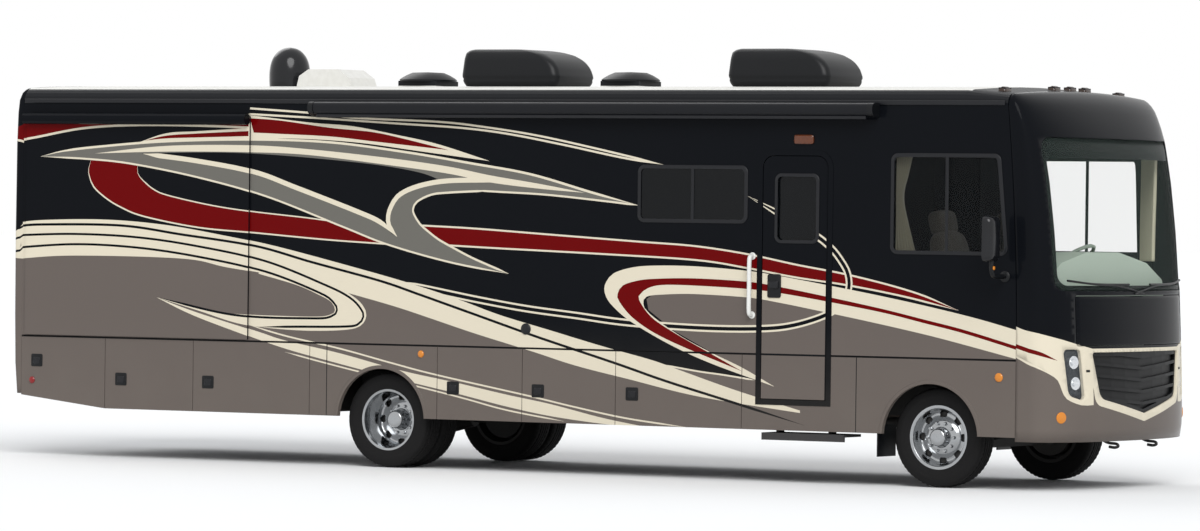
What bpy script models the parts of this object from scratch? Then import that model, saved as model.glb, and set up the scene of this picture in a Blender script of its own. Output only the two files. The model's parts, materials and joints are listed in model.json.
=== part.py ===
# A front-engine class A motorhome, modelled as an assembly of separate panels, frames,
# doors and running gear.  Metres, +X forward, +Y to the driver's side, +Z up, with the
# origin on the ground under the middle of the body.

import math

import bmesh
import bpy
from mathutils import Matrix, Vector

# Driving sizes of the coach body
BODY_LENGTH = 10.524
BODY_WIDTH = 2.565
BELT_Z = 1.058
SKIRT_Z = 0.433
WALL_TOP_Z = 3.13
ROOF_EDGE_Z = 3.24
ROOF_CROWN = 0.045
ROOF_FRONT_DROP = 0.035
ROOF_EDGE_RADIUS = 0.10
WALL_THICKNESS = 0.05
SKIN_THICKNESS = 0.03
PANEL_THICKNESS = 0.04

# Stations along the body
REAR_SEAM_X = -5.11
FRONT_SEAM_X = 4.725
FRONT_SEAM_LEAN = 0.10
WHEELBASE = 5.283
FRONT_AXLE_X = 3.95
REAR_BAY_END_X = -2.063
FRONT_BAY_START_X = -0.768
FRONT_BAY_END_X = 2.199

# Clearances
GAP = 0.0003
SEAM_GAP = 0.0008
ROOF_REAR_GAP = 0.006
DOOR_GAP = 0.006
OVERRUN = 0.05

# Running gear
TYRE_RADIUS = 0.41
TYRE_WIDTH = 0.245
RIM_SEAT_RADIUS = 0.25
RIM_LIP_RADIUS = 0.262
FRONT_WHEEL_Y = 1.015
REAR_TWIN_Y = 0.9215
TWIN_SPACING = 0.273
KINGPIN_Y = 0.86
RAIL_Y = 0.43
RAIL_WIDTH = 0.08
RAIL_BOTTOM_Z = 0.56
RAIL_TOP_Z = 0.80
FLOOR_THICKNESS = 0.058

# Worked out from the driving sizes
HALF_LENGTH = BODY_LENGTH / 2
HALF_WIDTH = BODY_WIDTH / 2
REAR_AXLE_X = FRONT_AXLE_X - WHEELBASE
FLOOR_BOTTOM_Z = BELT_Z - FLOOR_THICKNESS
INNER_WALL_Y = HALF_WIDTH - WALL_THICKNESS
ROOF_TOP_Z = ROOF_EDGE_Z + ROOF_CROWN

WHEEL_STEPS = 22

model = bpy.data.collections.new("motorhome")
cutters = bpy.data.collections.new("motorhome_cutters")


def clear_scene():
    for old in list(bpy.data.objects):
        bpy.data.objects.remove(old, do_unlink=True)
    bpy.context.scene.collection.children.link(model)
    bpy.context.scene.collection.children.link(cutters)


def finish(name, colour, roughness, metallic=0.0):
    material = bpy.data.materials.new(name)
    material.use_nodes = True
    shader = material.node_tree.nodes["Principled BSDF"]
    shader.inputs["Base Color"].default_value = (*colour, 1.0)
    shader.inputs["Roughness"].default_value = roughness
    shader.inputs["Metallic"].default_value = metallic
    material.diffuse_color = (*colour, 1.0)
    return material


# Each finish is colour (linear), roughness, metallic
FINISHES = {
    "body_paint": ((0.012, 0.014, 0.020), 0.25),
    "taupe_paint": ((0.17, 0.15, 0.14), 0.30),
    "white_roof": ((0.72, 0.72, 0.70), 0.45),
    "black_plastic": ((0.02, 0.02, 0.022), 0.50),
    "frame_black": ((0.03, 0.03, 0.03), 0.60),
    "cast_grey": ((0.12, 0.12, 0.12), 0.65),
    "rubber": ((0.02, 0.02, 0.02), 0.85),
    "chrome": ((0.80, 0.80, 0.82), 0.10, 1.0),
    "tinted_glass": ((0.05, 0.07, 0.07), 0.05),
    "lamp_lens": ((0.60, 0.62, 0.64), 0.08),
    "trim_grey": ((0.35, 0.37, 0.34), 0.70),
    "seat_cloth": ((0.22, 0.21, 0.19), 0.90),
    "curtain_cloth": ((0.60, 0.55, 0.46), 0.95),
    "floor_ply": ((0.30, 0.26, 0.21), 0.70),
}


def place(mesh, name, finish_name, collection=model):
    piece = bpy.data.objects.new(name, mesh)
    if collection is model:
        settings = FINISHES[finish_name]
        piece.data.materials.clear()
        piece.data.materials.append(finish(name + "_finish", *settings))
    else:
        piece.hide_render = True
        piece.display_type = "WIRE"
    collection.objects.link(piece)
    return piece


def mesh_from(name, maker):
    mesh = bpy.data.meshes.new(name)
    shape = bmesh.new()
    maker(shape)
    shape.to_mesh(mesh)
    shape.free()
    return mesh


def block(name, low, high, finish_name=None, collection=model):
    centre = (Vector(low) + Vector(high)) / 2
    size = Vector(high) - Vector(low)

    def maker(shape):
        bmesh.ops.create_cube(shape, size=1)
        bmesh.ops.scale(shape, vec=size, verts=shape.verts)
        bmesh.ops.translate(shape, vec=centre, verts=shape.verts)

    return place(mesh_from(name, maker), name, finish_name, collection)


def drum(name, radius, start, end, finish_name=None, collection=model, sides=24, end_radius=None):
    """A round bar from start to end, with a second radius for a taper."""
    start, end = Vector(start), Vector(end)
    axis = end - start

    def maker(shape):
        bmesh.ops.create_cone(shape, cap_ends=True, segments=sides, radius1=radius,
                              radius2=radius if end_radius is None else end_radius,
                              depth=axis.length)
        turn = axis.to_track_quat("Z", "Y").to_matrix().to_4x4()
        bmesh.ops.transform(shape, matrix=Matrix.Translation((start + end) / 2) @ turn,
                            verts=shape.verts)

    piece = place(mesh_from(name, maker), name, finish_name, collection)
    shade_round(piece)
    return piece


def shade_round(piece):
    piece.data.shade_smooth()
    piece.data.set_sharp_from_angle(angle=math.radians(40))


# How a flat outline's own axes lie in the coach
PLANES = {
    "side": Matrix(((1, 0, 0), (0, 0, -1), (0, 1, 0))).to_4x4(),
    "front": Matrix(((0, 0, 1), (1, 0, 0), (0, 1, 0))).to_4x4(),
    "plan": Matrix.Identity(4),
}


def plate(name, loops, plane, low, high, finish_name=None, collection=model):
    """A flat outline with holes, extruded between two levels across its plane."""
    curve = bpy.data.curves.new(name, "CURVE")
    curve.dimensions = "2D"
    curve.fill_mode = "BOTH"
    curve.extrude = (high - low) / 2
    for loop in loops:
        spline = curve.splines.new("POLY")
        spline.points.add(len(loop) - 1)
        for point, (across, up) in zip(spline.points, loop):
            point.co = (across, up, 0, 1)
        spline.use_cyclic_u = True
    holder = bpy.data.objects.new(name + "_curve", curve)
    bpy.context.scene.collection.objects.link(holder)
    evaluated = holder.evaluated_get(bpy.context.evaluated_depsgraph_get())
    mesh = bpy.data.meshes.new_from_object(evaluated)
    bpy.data.objects.remove(holder)
    bpy.data.curves.remove(curve)
    middle = (low + high) / 2
    lift = -middle if plane == "side" else middle
    mesh.transform(PLANES[plane] @ Matrix.Translation((0, 0, lift)))
    shape = bmesh.new()
    shape.from_mesh(mesh)
    bmesh.ops.remove_doubles(shape, verts=shape.verts, dist=GAP / 3)
    bmesh.ops.recalc_face_normals(shape, faces=shape.faces)
    shape.to_mesh(mesh)
    shape.free()
    mesh.name = name
    return place(mesh, name, finish_name, collection)


def rounded(corners, steps=4):
    """An outline through corners of (across, up, radius), each rounded by an arc."""
    points = []
    count = len(corners)
    for index, (across, up, radius) in enumerate(corners):
        here = Vector((across, up))
        if radius == 0:
            points.append(tuple(here))
            continue
        before = Vector(corners[index - 1][:2]) - here
        after = Vector(corners[(index + 1) % count][:2]) - here
        half = before.angle(after) / 2
        reach = radius / math.tan(half)
        start = here + before.normalized() * reach
        end = here + after.normalized() * reach
        centre = here + (before.normalized() + after.normalized()).normalized() * (
            radius / math.sin(half))
        first = (start - centre)
        turn = first.angle_signed(end - centre)
        for step in range(steps + 1):
            arm = first.copy()
            arm.rotate(Matrix.Rotation(-turn * step / steps, 2))
            points.append(tuple(centre + arm))
    return points


def rounded_box(left, right, low, high, radius):
    return rounded([(left, low, radius), (right, low, radius),
                    (right, high, radius), (left, high, radius)])


def turned(name, profile, finish_name, centre, outward, steps=WHEEL_STEPS, collection=model):
    """A turned shape about the Y axis; profile is (radius, distance outward) all round."""
    mesh = bpy.data.meshes.new(name)
    points = [(radius, 0, reach) for radius, reach in profile]
    closed = profile[0][0] > 0
    edges = [(index, index + 1) for index in range(len(points) - 1)]
    if closed:
        edges.append((len(points) - 1, 0))
    mesh.from_pydata(points, edges, [])
    piece = place(mesh, name, finish_name, collection)
    screw = piece.modifiers.new("turn", "SCREW")
    screw.steps = steps
    screw.render_steps = steps
    screw.use_merge_vertices = True
    screw.merge_threshold = GAP / 6
    screw.use_smooth_shade = True
    piece.location = centre
    piece.rotation_euler = (math.radians(-90 * outward), 0, 0)
    return piece


def tube(name, points, radius, finish_name, closed=False, collection=model):
    """A round bar along points, made a closed mesh."""
    curve = bpy.data.curves.new(name, "CURVE")
    curve.dimensions = "3D"
    curve.bevel_depth = radius
    curve.bevel_resolution = 2
    curve.use_fill_caps = True
    spline = curve.splines.new("POLY")
    spline.points.add(len(points) - 1)
    for point, where in zip(spline.points, points):
        point.co = (*where, 1)
    spline.use_cyclic_u = closed
    holder = bpy.data.objects.new(name + "_curve", curve)
    bpy.context.scene.collection.objects.link(holder)
    evaluated = holder.evaluated_get(bpy.context.evaluated_depsgraph_get())
    mesh = bpy.data.meshes.new_from_object(evaluated)
    bpy.data.objects.remove(holder)
    bpy.data.curves.remove(curve)
    shape = bmesh.new()
    shape.from_mesh(mesh)
    bmesh.ops.remove_doubles(shape, verts=shape.verts, dist=GAP / 3)
    bmesh.ops.recalc_face_normals(shape, faces=shape.faces)
    shape.to_mesh(mesh)
    shape.free()
    mesh.name = name
    return place(mesh, name, finish_name, collection)


def boolean(target, tool, operation="DIFFERENCE"):
    change = target.modifiers.new(operation.lower() + "_" + tool.name, "BOOLEAN")
    change.operation = operation
    change.object = tool
    change.solver = "EXACT"
    return change


def cut_block(target, name, low, high):
    boolean(target, block(name, low, high, None, cutters))


def add_block(target, name, low, high):
    boolean(target, block(name, low, high, None, cutters), "UNION")


def pivot_at(name, where):
    pivot = bpy.data.objects.new(name, None)
    pivot.empty_display_size = DOOR_GAP * 10
    pivot.location = where
    model.objects.link(pivot)
    return pivot


def hang(piece, pivot):
    piece.parent = pivot
    piece.matrix_parent_inverse = Matrix.Translation(pivot.location).inverted()


# The moulded front cap.  Its surface is a stack of level curves: at each height the
# plan runs straight forward from the side seam, then round a superellipse to the nose.
FRONT_BOTTOM_Z = 0.40
CAP_ROUNDNESS = 2.2
CAP_STRAIGHT_SHARE = 0.22
CAP_PLAN_STEPS = 9

# Height above the cap's bottom and reach ahead of the side seam, as shares of the
# cap's height at its edge and of its depth
FRONT_PROFILE_SHARES = (
    (0.0, 0.950), (0.036, 0.991), (0.078, 1.0), (0.2346, 0.968), (0.3565, 0.931),
    (0.4349, 0.907), (0.606, 0.810), (0.7487, 0.689),
    (0.838, 0.577), (0.8806, 0.512), (0.916, 0.419), (0.945, 0.317), (0.9643, 0.233),
    (0.980, 0.130), (0.992, 0.019), (0.998, -0.065), (1.0, -0.158),
)
REAR_CAP_BOTTOM_Z = 0.545
REAR_ROUNDNESS = 4.0
REAR_PLAN_STEPS = 7
REAR_PROFILE_SHARES = (
    (0.0, 0.60), (0.10, 0.86), (0.26, 0.96), (0.52, 1.0), (0.82, 0.95), (0.92, 0.84),
    (0.962, 0.68), (0.985, 0.48), (0.995, 0.30), (0.999, 0.14), (1.0, 0.0),
)


def front_seam_x(height):
    share = min(max((height - BELT_Z) / (WALL_TOP_Z - BELT_Z), 0), 1)
    return FRONT_SEAM_X - FRONT_SEAM_LEAN * share ** 2


def edge_half_width(height, top):
    """Half the body's width where its roof edge is rounded."""
    above = max(height - (top - ROOF_EDGE_RADIUS), 0)
    return HALF_WIDTH - ROOF_EDGE_RADIUS + math.sqrt(
        max(ROOF_EDGE_RADIUS ** 2 - above ** 2, 0))


def crown_lift(across, height, top):
    """How much the roof's crown raises a point near the top."""
    near_top = min(max((height - (top - 3 * ROOF_EDGE_RADIUS)) / (3 * ROOF_EDGE_RADIUS), 0), 1)
    return ROOF_CROWN * near_top * (1 - (across / HALF_WIDTH) ** 2)


def cap_rows(profile, bottom, top, seam, depth, roundness, forward, steps=CAP_PLAN_STEPS):
    """Level curves of a moulded cap from its right seam round to its left seam."""
    rows = []
    for height_share, reach_share in profile:
        height = bottom + (top - bottom) * height_share
        start = seam(height)
        nose = seam(bottom) + forward * depth * reach_share
        half = edge_half_width(height, top)
        plan = [(1, 0)]
        for step in range(steps + 1):
            angle = math.pi / 2 * (1 - step / steps)
            across = math.sin(angle) ** (2 / roundness)
            reach = max(math.cos(angle), 0) ** (2 / roundness)
            plan.append((across, CAP_STRAIGHT_SHARE + (1 - CAP_STRAIGHT_SHARE) * reach))
        plan += [(-across, reach) for across, reach in reversed(plan[:-1])]
        rows.append([(start + (nose - start) * reach, -half * across,
                      height + crown_lift(half * across, height, top))
                     for across, reach in plan])
    return rows


def shell(name, rows, inset, thickness, finish_name, collection=model):
    """An open surface through rows of points, moved in and given a thickness inward."""
    mesh = bpy.data.meshes.new(name)
    shape = bmesh.new()
    grid = [[shape.verts.new(point) for point in row] for row in rows]
    for lower, upper in zip(grid, grid[1:]):
        for index in range(len(lower) - 1):
            shape.faces.new((lower[index], lower[index + 1], upper[index + 1], upper[index]))
    middle = grid[len(grid) // 2][len(grid[0]) // 2]
    shape.normal_update()
    if middle.normal.x * middle.co.x < 0:
        bmesh.ops.reverse_faces(shape, faces=shape.faces)
        shape.normal_update()
    moved = [(vertex, vertex.co - vertex.normal * inset) for vertex in shape.verts]
    for vertex, where in moved:
        vertex.co = where
    shape.to_mesh(mesh)
    shape.free()
    piece = place(mesh, name, finish_name, collection)
    shade_round(piece)
    wall = piece.modifiers.new("wall", "SOLIDIFY")
    wall.thickness = thickness
    wall.offset = -1
    wall.use_even_offset = True
    return piece


FRONT_TOP_Z = ROOF_EDGE_Z - ROOF_FRONT_DROP


def front_rows():
    return cap_rows(FRONT_PROFILE_SHARES, FRONT_BOTTOM_Z, FRONT_TOP_Z, front_seam_x,
                    HALF_LENGTH - FRONT_SEAM_X, CAP_ROUNDNESS, 1)


def rear_rows():
    return cap_rows(REAR_PROFILE_SHARES, REAR_CAP_BOTTOM_Z, ROOF_EDGE_Z,
                    lambda height: REAR_SEAM_X, HALF_LENGTH + REAR_SEAM_X,
                    REAR_ROUNDNESS, -1, REAR_PLAN_STEPS)


# Openings in the front cap, each across, up, corner radius
WINDSHIELD_HALF_WIDTH = 1.17
WINDSHIELD_LOW_Z = 1.62
WINDSHIELD_HIGH_Z = 2.86
WINDSHIELD_CORNER = 0.10
HOOD_HALF_WIDTH = 0.98
HOOD_LOW_Z = 1.175
HOOD_HIGH_Z = 1.585
HOOD_CORNER = 0.03
HOOD_THICKNESS = 0.024
HOOD_LEDGE = 0.025
GRILLE_TOP_Z = 1.125
GRILLE_HALF_WIDTH = 0.80
GRILLE_SIDE_Z = 0.80
GRILLE_LOW_HALF_WIDTH = 0.70
GRILLE_POINT_Z = 0.62
LAMP_TOP_Z = 1.15
LAMP_LOW_Z = 0.73
LAMP_OUTER_Y = 1.11
LAMP_INNER_Y = 0.94
LAMP_SLANT = 0.045
LAMP_CORNER = 0.035
GLASS_THICKNESS = 0.008
GLASS_INSET = 0.005
LAMP_INSET = 0.006
GRILLE_INSET = 0.012
GRILLE_THICKNESS = 0.03
GRILLE_BACK_THICKNESS = 0.012
GRILLE_BACK_LAP = 0.002
GRILLE_RIM = 0.032
GRILLE_BARS = 5
GRILLE_BAR_WIDTH = 0.026
GRILLE_BAR_DROP = 0.055


def shrunk(corners, by):
    """The same outline moved inward by a distance at each corner."""
    count = len(corners)
    result = []
    for index, (across, up, radius) in enumerate(corners):
        before = (Vector(corners[index - 1][:2]) - Vector((across, up))).normalized()
        after = (Vector(corners[(index + 1) % count][:2]) - Vector((across, up))).normalized()
        half = before.angle(after) / 2
        inward = (before + after).normalized() * (by / math.sin(half))
        result.append((across + inward.x, up + inward.y, max(radius - by, 0)))
    return result


def grown_corners(corners, by):
    """A four-cornered outline centred on zero, moved outward on every side."""
    top = max(up for across, up, radius in corners)
    return [(across + math.copysign(by, across), up + (by if up == top else -by), radius)
            for across, up, radius in corners]


def windshield_corners():
    return [(-WINDSHIELD_HALF_WIDTH, WINDSHIELD_LOW_Z, WINDSHIELD_CORNER),
            (WINDSHIELD_HALF_WIDTH, WINDSHIELD_LOW_Z, WINDSHIELD_CORNER),
            (WINDSHIELD_HALF_WIDTH, WINDSHIELD_HIGH_Z, WINDSHIELD_CORNER),
            (-WINDSHIELD_HALF_WIDTH, WINDSHIELD_HIGH_Z, WINDSHIELD_CORNER)]


def hood_corners():
    return [(-HOOD_HALF_WIDTH, HOOD_LOW_Z, HOOD_CORNER), (HOOD_HALF_WIDTH, HOOD_LOW_Z, HOOD_CORNER),
            (HOOD_HALF_WIDTH, HOOD_HIGH_Z, HOOD_CORNER), (-HOOD_HALF_WIDTH, HOOD_HIGH_Z, HOOD_CORNER)]


def grille_corners():
    corner = GRILLE_HALF_WIDTH - GRILLE_LOW_HALF_WIDTH
    return [(0, GRILLE_POINT_Z, corner), (GRILLE_LOW_HALF_WIDTH, GRILLE_SIDE_Z - corner / 2, corner),
            (GRILLE_HALF_WIDTH, GRILLE_TOP_Z, corner / 4),
            (-GRILLE_HALF_WIDTH, GRILLE_TOP_Z, corner / 4),
            (-GRILLE_LOW_HALF_WIDTH, GRILLE_SIDE_Z - corner / 2, corner)]


def lamp_corners(side):
    corners = [(LAMP_INNER_Y - LAMP_SLANT, LAMP_LOW_Z, LAMP_CORNER),
               (LAMP_OUTER_Y - LAMP_SLANT, LAMP_LOW_Z + LAMP_SLANT, LAMP_CORNER * 2),
               (LAMP_OUTER_Y, LAMP_TOP_Z, LAMP_CORNER),
               (LAMP_INNER_Y, LAMP_TOP_Z, LAMP_CORNER)]
    if side > 0:
        return corners
    return [(-across, up, radius) for across, up, radius in reversed(corners)]


CUT_FROM_X = FRONT_SEAM_X + OVERRUN
CUT_TO_X = HALF_LENGTH + OVERRUN


def front_prism(name, corners):
    return plate(name, [rounded(corners)], "front", CUT_FROM_X, CUT_TO_X, None, cutters)


def grille_slot(name, low):
    """One opening between two bars; both bars dip to a point in the middle."""
    half = GRILLE_HALF_WIDTH + OVERRUN
    high = low + grille_pitch() - GRILLE_BAR_WIDTH
    outline = [(-half, low + GRILLE_BAR_DROP), (0, low), (half, low + GRILLE_BAR_DROP),
               (half, high + GRILLE_BAR_DROP), (0, high), (-half, high + GRILLE_BAR_DROP)]
    return plate(name, [outline], "front", CUT_FROM_X, CUT_TO_X, None, cutters)


def grille_pitch():
    return (GRILLE_TOP_Z - GRILLE_RIM - GRILLE_POINT_Z) / GRILLE_BARS


def build_grille(rows):
    """A moulded frame with V-shaped bars, closed behind by a curved panel."""
    outline = shrunk(grille_corners(), GAP)
    grille = shell("grille", rows, GRILLE_INSET, GRILLE_THICKNESS, "black_plastic")
    boolean(grille, front_prism("grille_edge", outline), "INTERSECT")
    for number in range(GRILLE_BARS):
        slot = grille_slot("grille_slot_%d" % number, GRILLE_POINT_Z + grille_pitch() * number)
        boolean(slot, front_prism("slot_limit_%d" % number, shrunk(grille_corners(), GRILLE_RIM)),
                "INTERSECT")
        boolean(grille, slot)
    back = shell("grille_back", rows, GRILLE_INSET + GRILLE_THICKNESS - GRILLE_BACK_LAP,
                 GRILLE_BACK_THICKNESS, None, cutters)
    boolean(back, front_prism("back_edge", outline), "INTERSECT")
    boolean(grille, back, "UNION")


def build_front_cap():
    rows = front_rows()
    cap = shell("front_cap", rows, 0, SKIN_THICKNESS, "body_paint")
    openings = {
        "windshield_opening": windshield_corners(),
        "hood_opening": hood_corners(),
        "grille_opening": grille_corners(),
        "lamp_opening_right": lamp_corners(-1),
        "lamp_opening_left": lamp_corners(1),
    }
    for name, corners in openings.items():
        boolean(cap, front_prism(name, corners))

    glass = shell("windshield", rows, GLASS_INSET, GLASS_THICKNESS, "tinted_glass")
    boolean(glass, front_prism("windshield_edge", shrunk(windshield_corners(), GAP)), "INTERSECT")

    build_grille(rows)

    for side, label in ((-1, "right"), (1, "left")):
        lamp = shell("headlamp_" + label, rows, LAMP_INSET, SKIN_THICKNESS, "lamp_lens")
        boolean(lamp, front_prism("lamp_edge_" + label, shrunk(lamp_corners(side), GAP)),
                "INTERSECT")

    ledge = shell("hood_ledge", rows, HOOD_THICKNESS + GAP, SKIN_THICKNESS / 2, None, cutters)
    boolean(ledge, front_prism("ledge_edge", grown_corners(hood_corners(), HOOD_LEDGE)),
            "INTERSECT")
    boolean(ledge, front_prism("ledge_middle", shrunk(hood_corners(), HOOD_LEDGE)))
    boolean(cap, ledge, "UNION")

    hood = shell("hood", rows, 0, HOOD_THICKNESS, "body_paint")
    boolean(hood, front_prism("hood_edge", shrunk(hood_corners(), DOOR_GAP)), "INTERSECT")
    hang(hood, pivot_at("hood_hinge", (front_nose_x(HOOD_HIGH_Z), 0, HOOD_HIGH_Z - DOOR_GAP)))


def front_nose_x(height):
    """The cap's reach at its middle, read off its profile."""
    depth = HALF_LENGTH - FRONT_SEAM_X
    share = (height - FRONT_BOTTOM_Z) / (FRONT_TOP_Z - FRONT_BOTTOM_Z)
    for (low, near), (high, far) in zip(FRONT_PROFILE_SHARES, FRONT_PROFILE_SHARES[1:]):
        if low <= share <= high:
            part = (share - low) / (high - low)
            return FRONT_SEAM_X + depth * (near + (far - near) * part)
    return FRONT_SEAM_X


TAIL_LAMP_PROUD = 0.010
TAIL_LAMP_OUTER_Y = 1.13
TAIL_LAMP_INNER_Y = 1.00
TAIL_LAMP_LOW_Z = 0.86
TAIL_LAMP_HIGH_Z = 1.24
TAIL_LAMP_CORNER = 0.04


def build_rear_cap():
    rows = rear_rows()
    cap = shell("rear_cap", rows, 0, SKIN_THICKNESS, "body_paint")
    for side, label in ((-1, "right"), (1, "left")):
        lens = shell("tail_lamp_" + label, rows, -TAIL_LAMP_PROUD, SKIN_THICKNESS / 2, None,
                     cutters)
        edges = sorted((side * TAIL_LAMP_INNER_Y, side * TAIL_LAMP_OUTER_Y))
        outline = rounded_box(*edges, TAIL_LAMP_LOW_Z, TAIL_LAMP_HIGH_Z, TAIL_LAMP_CORNER)
        boolean(lens, plate("tail_lamp_edge_" + label, [outline], "front",
                            -HALF_LENGTH - OVERRUN, REAR_SEAM_X, None, cutters), "INTERSECT")
        boolean(cap, lens, "UNION")


ROOF_ARC_STEPS = 5
ROOF_FLAT_SHARES = (0.6, 0.3)
ROOF_DROP_LENGTH = 0.50

# Vents along the roof, with the middle of each; a moulded fairing stands behind them
VENT_STATIONS = (-1.70, 0.352)
VENT_CURB = 0.38
VENT_CURB_HEIGHT = 0.05
VENT_LID_RADIUS = 0.24
VENT_TOP_RADIUS = 0.13
VENT_LID_HEIGHT = 0.07
FAIRING_REAR_X = -2.95
FAIRING_FRONT_X = -2.35
FAIRING_WIDTH = 0.42
FAIRING_HEIGHT = 0.151
FAIRING_SHARES = ((0, 0), (1, 0), (0.93, 0.62), (0.74, 1), (0.22, 1), (0.06, 0.7))

# Clearance lamps along the front edge of the roof: middle, then share of the half width
MARKER_LENGTH = 0.06
MARKER_WIDTH = 0.11
MARKER_HEIGHT = 0.03
MARKER_SETBACK = 0.05
MARKER_SIDE_SETBACK = 0.10
MARKER_SHARES = (-0.82, -0.22, 0.0, 0.22, 0.82)


def roof_height(station, across):
    """The crowned roof's height over one point."""
    start = FRONT_SEAM_X - ROOF_DROP_LENGTH
    end = front_seam_x(WALL_TOP_Z)
    lowered = ROOF_FRONT_DROP * min(max((station - start) / (end - start), 0), 1)
    return ROOF_EDGE_Z + crown_lift(across, ROOF_EDGE_Z, ROOF_EDGE_Z) - lowered


def add_roof_fittings(roof):
    sunk = ROOF_CROWN
    for number, station in enumerate(VENT_STATIONS):
        base = roof_height(station, 0)
        half = VENT_CURB / 2
        add_block(roof, "vent_curb_%d" % number, (station - half, -half, base - sunk),
                  (station + half, half, base + VENT_CURB_HEIGHT))
        lid = drum("vent_lid_%d" % number, VENT_LID_RADIUS,
                   (station, 0, base + VENT_CURB_HEIGHT - GAP),
                   (station, 0, base + VENT_CURB_HEIGHT + VENT_LID_HEIGHT), None, cutters,
                   sides=16, end_radius=VENT_TOP_RADIUS)
        boolean(roof, lid, "UNION")
    length = FAIRING_FRONT_X - FAIRING_REAR_X
    base = roof_height(FAIRING_REAR_X, 0)
    outline = [(FAIRING_REAR_X + length * along,
                base - sunk + (FAIRING_HEIGHT + sunk) * up) for along, up in FAIRING_SHARES]
    boolean(roof, plate("roof_fairing", [outline], "side", -FAIRING_WIDTH / 2,
                        FAIRING_WIDTH / 2, None, cutters), "UNION")
    front = front_seam_x(WALL_TOP_Z) - SEAM_GAP
    for number, share in enumerate(MARKER_SHARES):
        across = HALF_WIDTH * share
        nose = front - MARKER_SETBACK - MARKER_SIDE_SETBACK * share ** 2
        base = roof_height(nose, across)
        add_block(roof, "marker_%d" % number,
                  (nose - MARKER_LENGTH, across - MARKER_WIDTH / 2, base - sunk),
                  (nose, across + MARKER_WIDTH / 2, base + MARKER_HEIGHT))


def build_roof():
    """A crowned slab with rounded long edges, lowered a little towards the front cap."""
    arc_steps = ROOF_ARC_STEPS
    half = []
    for step in range(arc_steps + 1):
        angle = math.pi / 2 * step / arc_steps
        half.append((HALF_WIDTH - ROOF_EDGE_RADIUS * (1 - math.cos(angle)),
                     ROOF_EDGE_Z - ROOF_EDGE_RADIUS * (1 - math.sin(angle))))
    half.insert(0, (HALF_WIDTH, WALL_TOP_Z + GAP))
    inner = HALF_WIDTH - ROOF_EDGE_RADIUS
    half += [(inner * share, ROOF_EDGE_Z) for share in ROOF_FLAT_SHARES]
    outline = half + [(0, ROOF_EDGE_Z)] + [(-across, up) for across, up in reversed(half)]
    sections = ((REAR_SEAM_X + ROOF_REAR_GAP, 0), (FRONT_SEAM_X - ROOF_DROP_LENGTH, 0),
                (front_seam_x(WALL_TOP_Z) - SEAM_GAP, ROOF_FRONT_DROP))
    mesh = bpy.data.meshes.new("roof")
    shape = bmesh.new()
    rings = []
    for station, drop in sections:
        ring = []
        for across, up in outline:
            near_top = (up - WALL_TOP_Z) / (ROOF_EDGE_Z - WALL_TOP_Z)
            lift = crown_lift(across, up, ROOF_EDGE_Z) - drop * near_top
            lift = lift if up > WALL_TOP_Z + 2 * GAP else 0
            ring.append(shape.verts.new((station, across, up + lift)))
        rings.append(ring)
    count = len(outline)
    for first, second in zip(rings, rings[1:]):
        for index in range(count):
            following = (index + 1) % count
            shape.faces.new((first[index], second[index], second[following], first[following]))
    shape.faces.new(rings[0])
    shape.faces.new(list(reversed(rings[-1])))
    bmesh.ops.recalc_face_normals(shape, faces=shape.faces)
    shape.to_mesh(mesh)
    shape.free()
    roof = place(mesh, "roof", "white_roof")
    shade_round(roof)
    add_roof_fittings(roof)


# Windows and door in the side walls
GALLEY_WINDOW = (1.20, 2.22, 2.145, 2.595)
WINDOW_CORNER = 0.05
CAB_WINDOW_REAR_X = 3.585
CAB_WINDOW_TOP_FRONT_X = 4.553
CAB_WINDOW_LOW_FRONT_X = 4.63
CAB_WINDOW_LOW_Z = 1.913
CAB_WINDOW_TOP_Z = 2.705
DOOR_REAR_X = 2.375
DOOR_FRONT_X = 2.989
DOOR_LOW_Z = 0.685
DOOR_TOP_Z = 2.695
DOOR_CORNER = 0.10
DOOR_FRAME_WIDTH = 0.045
DOOR_FRAME_PROUD = 0.004
DOOR_LEAF_THICKNESS = 0.045
DOOR_WINDOW = (2.505, 2.894, 1.985, 2.535)

# The grab handle beside the entry door
HANDLE_X = 2.287
HANDLE_LOW_Z = 1.377
HANDLE_TOP_Z = 1.863
HANDLE_REACH = 0.055
HANDLE_RADIUS = 0.016
HANDLE_BEND = 0.04

# The slide-out rooms: rear, front, low and high of the box, then its depth
SLIDE_RIGHT = (-4.965, -2.80, 1.17, 2.90, 0.62)
SLIDE_LEFT = (-0.75, 2.65, 1.17, 2.90, 0.78)
SLIDE_WALL = 0.04
SLIDE_FLANGE = 0.10
SLIDE_FLANGE_THICKNESS = 0.02
SLIDE_WINDOW_LEFT = (0.25, 1.65, 1.95, 2.62)
TOPPER_RADIUS = 0.05


def cab_window_corners():
    return [(CAB_WINDOW_REAR_X, CAB_WINDOW_LOW_Z, WINDOW_CORNER),
            (CAB_WINDOW_LOW_FRONT_X, CAB_WINDOW_LOW_Z, WINDOW_CORNER),
            (CAB_WINDOW_TOP_FRONT_X, CAB_WINDOW_TOP_Z, WINDOW_CORNER),
            (CAB_WINDOW_REAR_X, CAB_WINDOW_TOP_Z, WINDOW_CORNER)]


def box_corners(edges, radius):
    left, right, low, high = edges
    return [(left, low, radius), (right, low, radius), (right, high, radius), (left, high, radius)]


def grown(edges, by):
    left, right, low, high = edges[:4]
    return left - by, right + by, low - by, high + by


def door_opening_corners():
    return [(DOOR_REAR_X, DOOR_LOW_Z, 0), (DOOR_FRONT_X, DOOR_LOW_Z, 0),
            (DOOR_FRONT_X, DOOR_TOP_Z, DOOR_CORNER), (DOOR_REAR_X, DOOR_TOP_Z, DOOR_CORNER)]


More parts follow.
